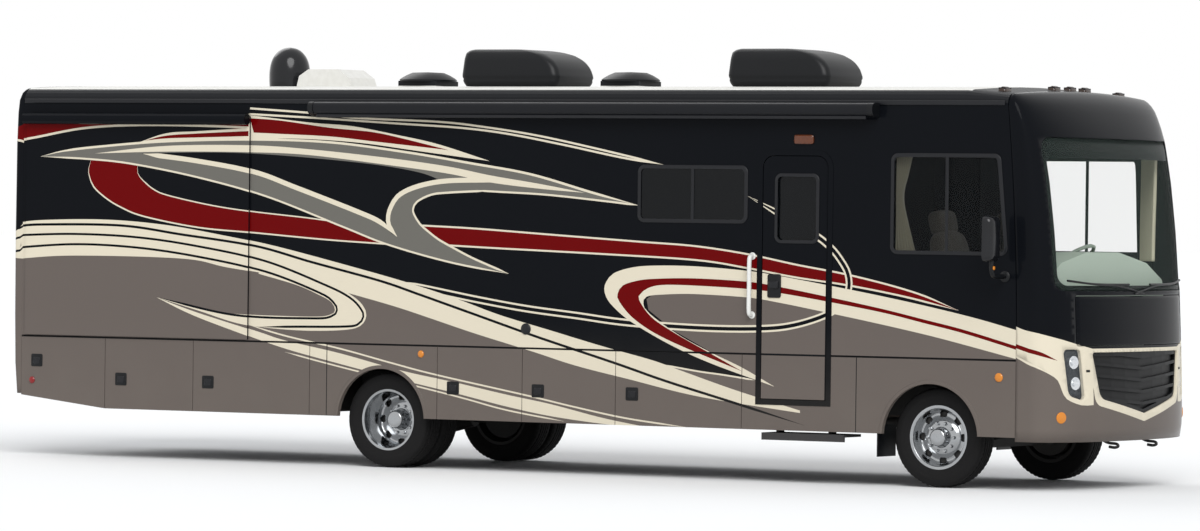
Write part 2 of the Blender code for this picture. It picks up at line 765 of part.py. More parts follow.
def door_frame_corners(clearance=0):
    by = DOOR_FRAME_WIDTH + clearance
    return [(DOOR_REAR_X - by, DOOR_LOW_Z - by, 0), (DOOR_FRONT_X + by, DOOR_LOW_Z - by, 0),
            (DOOR_FRONT_X + by, DOOR_TOP_Z + by, DOOR_CORNER + by),
            (DOOR_REAR_X - by, DOOR_TOP_Z + by, DOOR_CORNER + by)]


def add_door_frame(wall):
    """A pressed frame round the door, which hangs down past the wall to the door's foot."""
    low, high = side_levels(-1, PANEL_THICKNESS, DOOR_FRAME_PROUD)
    frame = plate("door_frame", [rounded(door_frame_corners())], "side", low, high, None, cutters)
    boolean(wall, frame, "UNION")
    boolean(wall, plate("door_opening", [rounded(door_opening_corners())], "side",
                        low - OVERRUN, high + OVERRUN, None, cutters))


def add_grab_handle(wall):
    out = -HALF_WIDTH - HANDLE_REACH
    into = -HALF_WIDTH + WALL_THICKNESS / 2
    path = [(HANDLE_X, into, HANDLE_LOW_Z), (HANDLE_X, out + HANDLE_BEND / 2, HANDLE_LOW_Z),
            (HANDLE_X, out, HANDLE_LOW_Z + HANDLE_BEND), (HANDLE_X, out, HANDLE_TOP_Z - HANDLE_BEND),
            (HANDLE_X, out + HANDLE_BEND / 2, HANDLE_TOP_Z), (HANDLE_X, into, HANDLE_TOP_Z)]
    boolean(wall, tube("grab_handle", path, HANDLE_RADIUS, None, False, cutters), "UNION")


def wall_outline():
    """The side wall above the belt; its front edge follows the cap's seam."""
    heights = [FRONT_BOTTOM_Z + (FRONT_TOP_Z - FRONT_BOTTOM_Z) * share
               for share, reach in FRONT_PROFILE_SHARES]
    front = [BELT_Z] + [height for height in heights if BELT_Z < height < WALL_TOP_Z]
    front.append(WALL_TOP_Z)
    return ([(REAR_SEAM_X + SEAM_GAP, BELT_Z)]
            + [(front_seam_x(height) - SEAM_GAP, height) for height in front]
            + [(REAR_SEAM_X + SEAM_GAP, WALL_TOP_Z)])


def side_levels(side, thickness, proud=0.0):
    """Inner and outer Y of a panel on one side of the coach."""
    outer = side * (HALF_WIDTH + proud)
    inner = side * (HALF_WIDTH - thickness)
    return min(inner, outer), max(inner, outer)


def build_side_walls():
    low, high = side_levels(-1, WALL_THICKNESS)
    right = plate("side_wall_right",
                  [wall_outline(), rounded(box_corners(GALLEY_WINDOW, WINDOW_CORNER)),
                   rounded(cab_window_corners()),
                   rounded(box_corners(grown(SLIDE_RIGHT, DOOR_GAP), 0))],
                  "side", low, high, "body_paint")
    add_door_frame(right)
    add_grab_handle(right)

    low, high = side_levels(1, WALL_THICKNESS)
    plate("side_wall_left",
          [wall_outline(), rounded(cab_window_corners()),
           rounded(box_corners(grown(SLIDE_LEFT, DOOR_GAP), 0))],
          "side", low, high, "body_paint")

    for side, label in ((-1, "right"), (1, "left")):
        pane_low, pane_high = side_levels(side, WALL_THICKNESS / 2)
        plate("window_cab_" + label, [rounded(shrunk(cab_window_corners(), GAP))],
              "side", pane_low, pane_high, "tinted_glass")
    pane_low, pane_high = side_levels(-1, WALL_THICKNESS / 2)
    plate("window_galley", [rounded(shrunk(box_corners(GALLEY_WINDOW, WINDOW_CORNER), GAP))],
          "side", pane_low, pane_high, "tinted_glass")


def build_entry_door():
    low, high = side_levels(-1, DOOR_LEAF_THICKNESS)
    leaf = plate("entry_door",
                 [rounded(shrunk(door_opening_corners(), DOOR_GAP)),
                  rounded(box_corners(DOOR_WINDOW, WINDOW_CORNER))],
                 "side", low, high, "body_paint")
    glass = plate("entry_door_window",
                  [rounded(shrunk(box_corners(DOOR_WINDOW, WINDOW_CORNER), GAP))],
                  "side", low + DOOR_LEAF_THICKNESS / 3, high - DOOR_LEAF_THICKNESS / 3,
                  "tinted_glass")
    pivot = pivot_at("entry_door_hinge", (DOOR_FRONT_X - DOOR_GAP, -HALF_WIDTH, DOOR_LOW_Z))
    hang(leaf, pivot)
    hang(glass, pivot)


# Skirts and luggage doors below the belt
SKIRT_TOP_Z = BELT_Z - DOOR_GAP
ARCH_RADIUS = 0.44
DEPARTURE_LOW_Z = 0.534
DEPARTURE_END_X = -4.207
ARCH_CENTRE_Z = 0.41

# Shares of a bay's length where one luggage door ends and the next begins
REAR_DOOR_SHARES = (0.0, 0.2964, 0.6026, 1.0)
FRONT_DOOR_SHARES = (0.0, 0.2848, 0.5925, 1.0)
LEFT_REAR_DOOR_SHARE = 0.4956
LEFT_FRONT_DOOR_SHARE = 0.5


def skirt_bottom_z(station):
    """The body's lower edge, which rises behind the rear luggage door for ground clearance."""
    if station >= DEPARTURE_END_X:
        return SKIRT_Z
    share = (DEPARTURE_END_X - station) / (DEPARTURE_END_X - REAR_SEAM_X)
    return SKIRT_Z + (DEPARTURE_LOW_Z - SKIRT_Z) * share


def panel_outline(rear, front, bottom=skirt_bottom_z):
    points = [(rear, bottom(rear))]
    if rear < DEPARTURE_END_X < front:
        points.append((DEPARTURE_END_X, SKIRT_Z))
    points += [(front, bottom(front)), (front, SKIRT_TOP_Z), (rear, SKIRT_TOP_Z)]
    return points


def luggage_door(name, rear, front, side):
    low, high = side_levels(side, PANEL_THICKNESS)
    half = DOOR_GAP / 2
    door = plate(name, [panel_outline(rear + half, front - half)], "side", low, high,
                 "taupe_paint")
    hang(door, pivot_at(name + "_hinge", (front - half, side * HALF_WIDTH, SKIRT_Z)))


def door_edges():
    """Name, rear edge, front edge and side of each luggage door."""
    rear_length = REAR_BAY_END_X - REAR_SEAM_X
    front_length = FRONT_BAY_END_X - FRONT_BAY_START_X
    edges = []
    for index in range(3):
        edges.append(("luggage_door_right_%d" % (index + 1),
                      REAR_SEAM_X + rear_length * REAR_DOOR_SHARES[index],
                      REAR_SEAM_X + rear_length * REAR_DOOR_SHARES[index + 1], -1))
    for index in range(3):
        edges.append(("luggage_door_right_%d" % (index + 4),
                      FRONT_BAY_START_X + front_length * FRONT_DOOR_SHARES[index],
                      FRONT_BAY_START_X + front_length * FRONT_DOOR_SHARES[index + 1], -1))
    edges.append(("luggage_door_left_1", REAR_SEAM_X,
                  REAR_SEAM_X + rear_length * LEFT_REAR_DOOR_SHARE, 1))
    edges.append(("luggage_door_left_2",
                  FRONT_BAY_START_X + front_length * LEFT_FRONT_DOOR_SHARE, FRONT_BAY_END_X, 1))
    return edges


def arch_cutter(name, station, side):
    low, high = side_levels(side, PANEL_THICKNESS)
    return drum(name, ARCH_RADIUS, (station, low - OVERRUN, ARCH_CENTRE_Z),
                (station, high + OVERRUN, ARCH_CENTRE_Z), None, cutters, sides=40)


def skirt(name, rear, front, side, arch_station):
    low, high = side_levels(side, PANEL_THICKNESS)
    panel = plate(name, [panel_outline(rear, front)], "side", low, high, "taupe_paint")
    boolean(panel, arch_cutter(name + "_arch", arch_station, side))
    return panel


def build_lower_body():
    doors = door_edges()
    half = DOOR_GAP / 2
    for name, rear, front, side in doors:
        luggage_door(name, rear, front, side)
    edges = {name: (rear, front) for name, rear, front, side in doors}
    skirt("skirt_rear_right", edges["luggage_door_right_3"][1] + half,
          FRONT_BAY_START_X - half, -1, REAR_AXLE_X)
    front_right = skirt("skirt_front_right", FRONT_BAY_END_X + half, FRONT_SEAM_X - SEAM_GAP, -1,
                        FRONT_AXLE_X)
    low, high = side_levels(-1, PANEL_THICKNESS)
    boolean(front_right, plate("door_notch", [rounded(door_frame_corners(GAP))], "side",
                               low - OVERRUN, high + OVERRUN, None, cutters))
    skirt("skirt_rear_left", edges["luggage_door_left_1"][1] + half,
          edges["luggage_door_left_2"][0] - half, 1, REAR_AXLE_X)
    skirt("skirt_front_left", FRONT_BAY_END_X + half, FRONT_SEAM_X - SEAM_GAP, 1, FRONT_AXLE_X)


# Luggage bays behind the doors
BAY_WALL = 0.03
BAY_FLOOR_Z = 0.455
BAY_INNER_Y = 0.53
BAY_MIDDLE_Y = 0.49
BAY_STRAP_TOP_Z = RAIL_BOTTOM_Z - GAP
SHAFT_NOTCH_HALF_WIDTH = 0.09
SHAFT_NOTCH_TOP_Z = 0.53
BAY_STRAP_WIDTH = 0.10
BAY_LAP = 0.02


def build_bay(name, rear, front, right_edges, left_edges, floor_at):
    outer = HALF_WIDTH - PANEL_THICKNESS - GAP
    top = FLOOR_BOTTOM_Z - GAP
    outline = [(rear, floor_at(rear))]
    if rear < DEPARTURE_END_X < front:
        outline.append((DEPARTURE_END_X, floor_at(DEPARTURE_END_X)))
    outline += [(front, floor_at(front)), (front, top), (rear, top)]
    bay = plate(name, [outline], "side", -outer, outer, "frame_black")
    for side, edges, label in ((-1, right_edges, "right"), (1, left_edges, "left")):
        for index, (start, end) in enumerate(zip(edges, edges[1:])):
            start = max(start, rear) + BAY_WALL / 2
            end = min(end, front) - BAY_WALL / 2
            floor = max(floor_at(start), floor_at(end)) + BAY_WALL / 2
            low = min(side * BAY_INNER_Y, side * (outer + OVERRUN))
            high = max(side * BAY_INNER_Y, side * (outer + OVERRUN))
            cut_block(bay, "%s_%s_%d" % (name, label, index), (start, low, floor),
                      (end, high, top - BAY_WALL))
    cut_block(bay, name + "_middle", (rear - OVERRUN, -BAY_MIDDLE_Y, BAY_STRAP_TOP_Z),
              (front + OVERRUN, BAY_MIDDLE_Y, top + OVERRUN))
    first, last = rear + BAY_STRAP_WIDTH, front - BAY_STRAP_WIDTH
    cut_block(bay, name + "_under", (first, -BAY_MIDDLE_Y, floor_at(front) - OVERRUN * 2),
              (last, BAY_MIDDLE_Y, BAY_STRAP_TOP_Z + OVERRUN))
    cut_block(bay, name + "_shaft_notch",
              (rear - OVERRUN, -SHAFT_NOTCH_HALF_WIDTH, floor_at(front) - OVERRUN * 2),
              (front + OVERRUN, SHAFT_NOTCH_HALF_WIDTH, SHAFT_NOTCH_TOP_Z))
    return bay


def build_bays():
    doors = {name: (rear, front) for name, rear, front, side in door_edges()}
    rear_right = [doors["luggage_door_right_%d" % number][0] for number in (1, 2, 3)]
    rear_right.append(doors["luggage_door_right_3"][1])
    front_right = [doors["luggage_door_right_%d" % number][0] for number in (4, 5, 6)]
    front_right.append(doors["luggage_door_right_6"][1])
    rear_left = doors["luggage_door_left_1"]
    front_left = doors["luggage_door_left_2"]

    def sloped_floor(station):
        return skirt_bottom_z(station) + (BAY_FLOOR_Z - SKIRT_Z)

    build_bay("luggage_bay_rear", REAR_SEAM_X + BAY_WALL, REAR_BAY_END_X + BAY_LAP,
              rear_right, rear_left, sloped_floor)
    build_bay("luggage_bay_front", FRONT_BAY_START_X - BAY_LAP, FRONT_BAY_END_X + BAY_LAP,
              front_right, front_left, sloped_floor)


# Floor with the entry stepwell
STEPWELL_DEPTH_Y = 0.55
STEPWELL_FLOOR_Z = 0.70
STEPWELL_WALL = 0.02

# The entry step folded under the door
STEP_REAR_X = 2.40
STEP_FRONT_X = 3.17
STEP_TOP_Z = 0.412
STEP_LOW_Z = 0.352
STEP_OUTER_Y = 1.30
STEP_DEPTH = 0.30
STEP_METAL = 0.022
STEP_HANGER_SHARES = (0.09, 0.92)
STEP_HANGER_DEPTH = 0.10


def add_entry_step(floor, rear, fore):
    inner = -STEP_OUTER_Y + STEP_DEPTH
    add_block(floor, "step_tread", (STEP_REAR_X, -STEP_OUTER_Y, STEP_TOP_Z - STEP_METAL),
              (STEP_FRONT_X, inner, STEP_TOP_Z))
    add_block(floor, "step_lip", (STEP_REAR_X, -STEP_OUTER_Y, STEP_LOW_Z),
              (STEP_FRONT_X, -STEP_OUTER_Y + STEP_METAL, STEP_TOP_Z - STEP_METAL / 2))
    for number, share in enumerate(STEP_HANGER_SHARES):
        station = rear + (fore - rear) * share
        add_block(floor, "step_hanger_%d" % number,
                  (station - STEP_METAL / 2, inner - STEP_HANGER_DEPTH, STEP_TOP_Z - STEP_METAL / 2),
                  (station + STEP_METAL / 2, inner, STEPWELL_FLOOR_Z - STEPWELL_WALL / 2))


def build_floor():
    inner = INNER_WALL_Y - GAP
    front = FRONT_SEAM_X - SKIN_THICKNESS
    floor = block("floor", (REAR_SEAM_X + SEAM_GAP, -inner, FLOOR_BOTTOM_Z),
                  (front, inner, BELT_Z), "floor_ply")
    outer = HALF_WIDTH - DOOR_LEAF_THICKNESS - GAP
    rear, fore = DOOR_REAR_X + DOOR_GAP * 2, DOOR_FRONT_X - DOOR_GAP * 2
    add_block(floor, "stepwell_box",
              (rear, -outer, STEPWELL_FLOOR_Z - STEPWELL_WALL),
              (fore, -outer + STEPWELL_DEPTH_Y, BELT_Z))
    cut_block(floor, "stepwell_hollow",
              (rear + STEPWELL_WALL, -outer - OVERRUN, STEPWELL_FLOOR_Z),
              (fore - STEPWELL_WALL, -outer + STEPWELL_DEPTH_Y - STEPWELL_WALL,
               BELT_Z + OVERRUN))
    tread_z = (STEPWELL_FLOOR_Z + BELT_Z) / 2
    add_block(floor, "stepwell_tread",
              (rear + STEPWELL_WALL / 2, -outer + STEPWELL_DEPTH_Y / 2,
               STEPWELL_FLOOR_Z - STEPWELL_WALL / 2),
              (fore - STEPWELL_WALL / 2, -outer + STEPWELL_DEPTH_Y - STEPWELL_WALL / 2, tread_z))
    add_entry_step(floor, rear, fore)


def slide_room(name, edges, side, window=None):
    rear, front, low, high, depth = edges
    flange = grown(edges, SLIDE_FLANGE)
    outer = HALF_WIDTH + GAP + SLIDE_FLANGE_THICKNESS
    face_low, face_high = sorted((side * (HALF_WIDTH + GAP), side * outer))
    holes = [rounded(box_corners(window, WINDOW_CORNER))] if window else []
    room = plate(name, [rounded(box_corners(flange, 0))] + holes, "side", face_low, face_high,
                 "body_paint")
    inner = HALF_WIDTH - depth
    box_low, box_high = sorted((side * inner, side * (outer - SLIDE_FLANGE_THICKNESS / 2)))
    box = block(name + "_box", (rear, box_low, low), (front, box_high, high), None, cutters)
    boolean(room, box, "UNION")
    hollow_low, hollow_high = sorted((side * (inner - OVERRUN), side * (HALF_WIDTH - SLIDE_WALL)))
    cut_block(room, name + "_hollow",
              (rear + SLIDE_WALL, hollow_low, low + SLIDE_WALL),
              (front - SLIDE_WALL, hollow_high, high - SLIDE_WALL))
    if window:
        hole_low, hole_high = sorted((side * (HALF_WIDTH - SLIDE_WALL - OVERRUN),
                                      side * (outer + OVERRUN)))
        boolean(room, plate(name + "_window_cut", [rounded(box_corners(window, WINDOW_CORNER))],
                            "side", hole_low, hole_high, None, cutters))
    topper_y = side * (outer + TOPPER_RADIUS - SLIDE_FLANGE_THICKNESS / 2)
    topper_z = flange[3] - TOPPER_RADIUS / 2
    topper = drum(name + "_topper", TOPPER_RADIUS, (flange[0], topper_y, topper_z),
                  (flange[1], topper_y, topper_z), None, cutters, sides=12)
    boolean(room, topper, "UNION")
    hang(room, pivot_at(name + "_track", ((rear + front) / 2, side * HALF_WIDTH, low)))
    return room


def build_slides():
    slide_room("slide_room_right", SLIDE_RIGHT, -1)
    room = slide_room("slide_room_left", SLIDE_LEFT, 1, SLIDE_WINDOW_LEFT)
    pane = plate("window_slide_left",
                 [rounded(shrunk(box_corners(SLIDE_WINDOW_LEFT, WINDOW_CORNER), GAP))],
                 "side", HALF_WIDTH - SLIDE_WALL / 2, HALF_WIDTH, "tinted_glass")
    hang(pane, room.parent)


# Ladder frame, engine and axles
FRAME_REAR_X = -4.95
FRAME_FRONT_X = 4.98
CROSSMEMBER_WIDTH = 0.12
CROSSMEMBER_SHARES = (0.0, 0.14, 0.27, 0.42, 0.54, 0.66, 0.78, 0.988)
MOUNT_SHARES = (0.14, 0.27, 0.54, 0.66, 0.78)
MOUNT_INSET = 0.01
TANK_LENGTH = 1.05
TANK_WIDTH = 0.62
TANK_LOW_Z = 0.50


def build_chassis():
    length = FRAME_FRONT_X - FRAME_REAR_X
    outer = RAIL_Y + RAIL_WIDTH / 2
    inner = RAIL_Y - RAIL_WIDTH / 2
    stations = [FRAME_REAR_X + length * share for share in CROSSMEMBER_SHARES]
    frame = block("chassis_frame", (FRAME_REAR_X, -outer, RAIL_BOTTOM_Z),
                  (FRAME_FRONT_X, outer, RAIL_TOP_Z), "frame_black")
    for number, (start, end) in enumerate(zip(stations, stations[1:])):
        cut_block(frame, "frame_bay_%d" % number,
                  (start + CROSSMEMBER_WIDTH, -inner, RAIL_BOTTOM_Z - OVERRUN),
                  (end, inner, RAIL_TOP_Z + OVERRUN))
    for number, share in enumerate(MOUNT_SHARES):
        station = FRAME_REAR_X + length * share
        add_block(frame, "body_mount_%d" % number,
                  (station + MOUNT_INSET, MOUNT_INSET - outer, RAIL_TOP_Z - OVERRUN),
                  (station + CROSSMEMBER_WIDTH - MOUNT_INSET, outer - MOUNT_INSET,
                   FLOOR_BOTTOM_Z - GAP))
    tank_start = stations[0] + CROSSMEMBER_WIDTH / 2
    add_block(frame, "fuel_tank", (tank_start, -TANK_WIDTH / 2, TANK_LOW_Z),
              (tank_start + TANK_LENGTH, TANK_WIDTH / 2, RAIL_TOP_Z - OVERRUN))


ENGINE_LENGTH = 0.72
ENGINE_WIDTH = 0.62
ENGINE_LOW_Z = 0.50


def build_engine():
    front = FRAME_FRONT_X - CROSSMEMBER_WIDTH
    block("engine", (front - ENGINE_LENGTH, -ENGINE_WIDTH / 2, ENGINE_LOW_Z),
          (front - GAP, ENGINE_WIDTH / 2, FLOOR_BOTTOM_Z - GAP), "cast_grey")


AXLE_Z = TYRE_RADIUS
BEAM_HEIGHT = 0.09
BEAM_WIDTH = 0.07
BEAM_DROP = 0.06
KINGPIN_RADIUS = 0.05
KINGPIN_HEIGHT = 0.22
SPRING_LENGTH = 1.08
SPRING_WIDTH = 0.07
SPRING_THICKNESS = 0.03
DRUM_RADIUS = 0.20
DRUM_WIDTH = 0.12
HUB_RADIUS = 0.13
AXLE_TUBE_RADIUS = 0.06
DIFF_RADIUS = 0.16


def spring(target, name, axle_x, side, seat_z):
    """A leaf pack that dips to the axle and rises to the rail at both ends."""
    half = SPRING_LENGTH / 2
    top = RAIL_BOTTOM_Z - GAP
    outline = [(axle_x - half, top - SPRING_THICKNESS), (axle_x - half / 3, seat_z),
               (axle_x + half / 3, seat_z), (axle_x + half, top - SPRING_THICKNESS),
               (axle_x + half, top), (axle_x + half - SPRING_THICKNESS, top),
               (axle_x + half / 3, seat_z + SPRING_THICKNESS),
               (axle_x - half / 3, seat_z + SPRING_THICKNESS),
               (axle_x - half + SPRING_THICKNESS, top), (axle_x - half, top)]
    low = side * RAIL_Y - SPRING_WIDTH / 2
    leaf = plate(name, [outline], "side", low, low + SPRING_WIDTH, None, cutters)
    boolean(target, leaf, "UNION")


def build_front_axle():
    end = KINGPIN_Y - KINGPIN_RADIUS - GAP
    half = BEAM_HEIGHT / 2
    bend = RAIL_Y + SPRING_WIDTH
    outline = [(-end, AXLE_Z - half), (-bend, AXLE_Z - half - BEAM_DROP),
               (bend, AXLE_Z - half - BEAM_DROP), (end, AXLE_Z - half), (end, AXLE_Z + half),
               (bend, AXLE_Z + half - BEAM_DROP), (-bend, AXLE_Z + half - BEAM_DROP),
               (-end, AXLE_Z + half)]
    axle = plate("front_axle", [outline], "front", FRONT_AXLE_X - BEAM_WIDTH / 2,
                 FRONT_AXLE_X + BEAM_WIDTH / 2, "frame_black")
    for side, label in ((-1, "right"), (1, "left")):
        spring(axle, "front_spring_" + label, FRONT_AXLE_X, side,
               AXLE_Z + half - BEAM_DROP - SPRING_THICKNESS / 2)


def build_knuckle(label, side):
    low_z, high_z = AXLE_Z - KINGPIN_HEIGHT / 2, AXLE_Z + KINGPIN_HEIGHT / 2
    knuckle = drum("knuckle_" + label, KINGPIN_RADIUS, (FRONT_AXLE_X, side * KINGPIN_Y, low_z),
                   (FRONT_AXLE_X, side * KINGPIN_Y, high_z), "cast_grey", sides=20)
    hub_end = side * (FRONT_WHEEL_Y - GAP)
    brake = drum("brake_" + label, DRUM_RADIUS,
                 (FRONT_AXLE_X, hub_end - side * DRUM_WIDTH, AXLE_Z),
                 (FRONT_AXLE_X, hub_end, AXLE_Z), None, cutters, sides=24)
    boolean(knuckle, brake, "UNION")
    hang(knuckle, pivot_at("kingpin_" + label, (FRONT_AXLE_X, side * KINGPIN_Y, AXLE_Z)))


def build_rear_axle():
    end = REAR_TWIN_Y - DRUM_WIDTH
    axle = drum("rear_axle", AXLE_TUBE_RADIUS, (REAR_AXLE_X, -end, AXLE_Z),
                (REAR_AXLE_X, end, AXLE_Z), "frame_black", sides=16)
    for side, label in ((-1, "right"), (1, "left")):
        face = side * (REAR_TWIN_Y - TWIN_DISC_HALF - GAP)
        boolean(axle, drum("rear_drum_" + label, DRUM_RADIUS,
                           (REAR_AXLE_X, face - side * DRUM_WIDTH * 1.5, AXLE_Z),
                           (REAR_AXLE_X, face, AXLE_Z), None, cutters, sides=24), "UNION")
        spring(axle, "rear_spring_" + label, REAR_AXLE_X, side, AXLE_Z + AXLE_TUBE_RADIUS / 2)
    boolean(axle, drum("diff", DIFF_RADIUS, (REAR_AXLE_X - DIFF_RADIUS, 0, AXLE_Z),
                       (REAR_AXLE_X + DIFF_RADIUS, 0, AXLE_Z), None, cutters, sides=16,
                       end_radius=DIFF_RADIUS / 2), "UNION")
    shaft_z = AXLE_Z + AXLE_TUBE_RADIUS / 2
    engine_rear = FRAME_FRONT_X - CROSSMEMBER_WIDTH - ENGINE_LENGTH
    boolean(axle, drum("prop_shaft", AXLE_TUBE_RADIUS * 0.75, (REAR_AXLE_X, 0, AXLE_Z),
                       (engine_rear - GAP, 0, shaft_z + BEAM_DROP), None, cutters, sides=12),
            "UNION")


# Wheels.  The disc stands at the middle of the twin tyres
TWIN_DISC_HALF = 0.015
TWIN_OFFSET = TWIN_SPACING / 2

# Height up the sidewall from the bead, and reach as a share of half the tyre's width
TYRE_SHARES = ((0.0, 0.75), (0.22, 0.92), (0.53, 1.0), (0.86, 0.92), (1.0, 0.72))

# Radius as a share of the rim's seat, and reach as a share of half the tyre's width
FRONT_FACE_SHARES = ((0.0, 1.14), (0.30, 1.10), (0.34, 0.49), (0.52, 0.41), (0.76, 0.16),
                     (0.89, 0.45), (0.94, 0.88))
FRONT_BACK_SHARES = ((0.94, -0.88), (0.89, -0.41), (0.89, 0.0), (0.0, 0.0))
REAR_FACE_SHARES = ((0.0, 1.22), (0.32, 1.18), (0.36, 0.25), (0.76, 0.16), (0.90, 0.37))
BEAD_SHARE = 0.75
FLANGE_SHARE = 0.88
RIM_WELL_SHARE = 0.95
REAR_BACK_SHARE = 0.90


def tyre_profile():
    half = TYRE_WIDTH / 2
    wall = TYRE_RADIUS - RIM_SEAT_RADIUS
    side = [(RIM_SEAT_RADIUS + wall * up, half * reach) for up, reach in TYRE_SHARES]
    return side + [(radius, -reach) for radius, reach in reversed(side)]


def rim_section(offset):
    """One rim's seat between its two flanges, from the outer flange to the inner one."""
    half = TYRE_WIDTH / 2
    seat = RIM_SEAT_RADIUS - GAP
    return [(RIM_LIP_RADIUS, offset + FLANGE_SHARE * half), (seat, offset + BEAD_SHARE * half),
            (seat, offset - BEAD_SHARE * half), (RIM_LIP_RADIUS, offset - FLANGE_SHARE * half)]


def scaled_face(shares):
    return [(RIM_SEAT_RADIUS * radius, TYRE_WIDTH / 2 * reach) for radius, reach in shares]


def front_rim_profile():
    return scaled_face(FRONT_FACE_SHARES) + rim_section(0) + scaled_face(FRONT_BACK_SHARES)


def rear_rim_profile():
    well = RIM_SEAT_RADIUS * RIM_WELL_SHARE
    flange = TYRE_WIDTH / 2 * FLANGE_SHARE
    back = RIM_SEAT_RADIUS * REAR_BACK_SHARE
    return (scaled_face(REAR_FACE_SHARES) + [(well, TWIN_OFFSET + flange)]
            + rim_section(TWIN_OFFSET)
            + [(well, TWIN_OFFSET - flange), (well, flange - TWIN_OFFSET)]
            + rim_section(-TWIN_OFFSET)
            + [(well, -flange - TWIN_OFFSET), (back, -TWIN_DISC_HALF), (0, -TWIN_DISC_HALF)])


def build_wheels():
    for side, label in ((-1, "right"), (1, "left")):
        centre = (FRONT_AXLE_X, side * FRONT_WHEEL_Y, AXLE_Z)
        turned("rim_front_" + label, front_rim_profile(), "chrome", centre, side)
        turned("tyre_front_" + label, tyre_profile(), "rubber", centre, side)
        twin = (REAR_AXLE_X, side * REAR_TWIN_Y, AXLE_Z)
        turned("rim_rear_" + label, rear_rim_profile(), "chrome", twin, side)
        outer = (REAR_AXLE_X, side * (REAR_TWIN_Y + TWIN_OFFSET), AXLE_Z)
        inner = (REAR_AXLE_X, side * (REAR_TWIN_Y - TWIN_OFFSET), AXLE_Z)
        turned("tyre_rear_outer_" + label, tyre_profile(), "rubber", outer, side)
        turned("tyre_rear_inner_" + label, tyre_profile(), "rubber", inner, side)


# Cab
DASH_TO_WALL = 0.1825
DASH_HALF_WIDTH = INNER_WALL_Y - DASH_TO_WALL
DASH_REAR_X = 4.42
DASH_LENGTH = 0.50
DASH_HEIGHT = 0.892
DASH_CROWN_HEIGHT = 0.872

# The dash from the side and from the front, as shares of its length, half width and height
DASH_SIDE_SHARES = ((0.06, 0), (0.54, 0), (0.96, 0.44), (1.0, 0.61), (0.88, 1.0), (0.36, 1.0),
                    (0, 0.83), (0, 0.55), (0.2, 0.44))
DASH_FRONT_SHARES = ((-1, 0), (1, 0), (1, 0.74), (0.76, 0.90), (0.29, 1), (-0.29, 1),
                     (-0.76, 0.90), (-1, 0.74))
SEAT_TO_WALL = 0.6125
SEAT_Y = INNER_WALL_Y - SEAT_TO_WALL
SEAT_WIDTH = 0.52
SEAT_BACK_X = 3.72
SEAT_DEPTH = 0.50
SEAT_HEIGHT = 1.22

# One seat from the side, from the foot of its pedestal round the squab and the backrest
SEAT_SHARES = ((0.2, 0), (0.84, 0), (0.90, 0.262), (1.12, 0.279), (1.16, 0.393), (0.40, 0.426),
               (0.04, 0.836), (0, 1), (-0.18, 1), (-0.20, 0.803), (0, 0.369), (0.16, 0.279))
STEERING_WHEEL_RADIUS = 0.21
STEERING_BAR_RADIUS = 0.016
STEERING_SPOKE_RADIUS = 0.012
STEERING_COLUMN_RADIUS = 0.03
STEERING_COLUMN_LENGTH = 0.34
STEERING_X = 4.28
STEERING_Z = 1.86
STEERING_TILT = 35
STEERING_STEPS = 16


def build_dash():
    base = BELT_Z + GAP
    side_outline = [(DASH_REAR_X + DASH_LENGTH * along, base + DASH_HEIGHT * up)
                    for along, up in DASH_SIDE_SHARES]
    front_outline = [(DASH_HALF_WIDTH * across, BELT_Z + DASH_CROWN_HEIGHT * up)
                     for across, up in DASH_FRONT_SHARES]
    dash = plate("dashboard", [side_outline], "side", -DASH_HALF_WIDTH, DASH_HALF_WIDTH,
                 "trim_grey")
    boolean(dash, plate("dash_crown", [front_outline], "front", DASH_REAR_X - OVERRUN,
                        DASH_REAR_X + DASH_LENGTH + OVERRUN, None, cutters), "INTERSECT")
    centre = Vector((STEERING_X, SEAT_Y, STEERING_Z))
    tilt = Matrix.Rotation(math.radians(-STEERING_TILT), 3, "Y")
    ring = []
    for step in range(STEERING_STEPS):
        angle = 2 * math.pi * step / STEERING_STEPS
        spoke = Vector((math.cos(angle), math.sin(angle), 0)) * STEERING_WHEEL_RADIUS
        ring.append(tuple(centre + tilt @ spoke))
    boolean(dash, tube("steering_rim", ring, STEERING_BAR_RADIUS, None, True, cutters), "UNION")
    down = tilt @ Vector((0, 0, -1))
    boolean(dash, drum("steering_column", STEERING_COLUMN_RADIUS,
                       centre + down * STEERING_SPOKE_RADIUS / 3,
                       centre + down * STEERING_COLUMN_LENGTH, None, cutters, sides=12), "UNION")
    across = Vector((0, STEERING_WHEEL_RADIUS, 0))
    boolean(dash, tube("steering_spoke", [tuple(centre - across), tuple(centre + across)],
                       STEERING_SPOKE_RADIUS, None, False, cutters), "UNION")


def build_seats():
    for side, name in ((-1, "seat_passenger"), (1, "seat_driver")):
        points = [(SEAT_BACK_X + SEAT_DEPTH * along, BELT_Z + GAP + SEAT_HEIGHT * up)
                  for along, up in SEAT_SHARES]
        low = side * SEAT_Y - SEAT_WIDTH / 2
        plate(name, [points], "side", low, low + SEAT_WIDTH, "seat_cloth")


CURTAIN_ABOVE = 0.08
CURTAIN_BELOW = 0.06
CURTAIN_WIDTH = 0.21
CURTAIN_THICKNESS = 0.05
CURTAIN_WRAP = 0.19
CURTAIN_SETBACK = 0.01

# The tied curtain seen from the side, and the bunched one seen from above
CURTAIN_SIDE_SHARES = ((0, 0), (1, 0), (0.24, 0.58), (0.76, 1), (0, 1))
CURTAIN_PLAN_SHARES = ((0, 0), (0.263, 0), (1, -0.632), (0.895, -0.947), (0, -0.316))


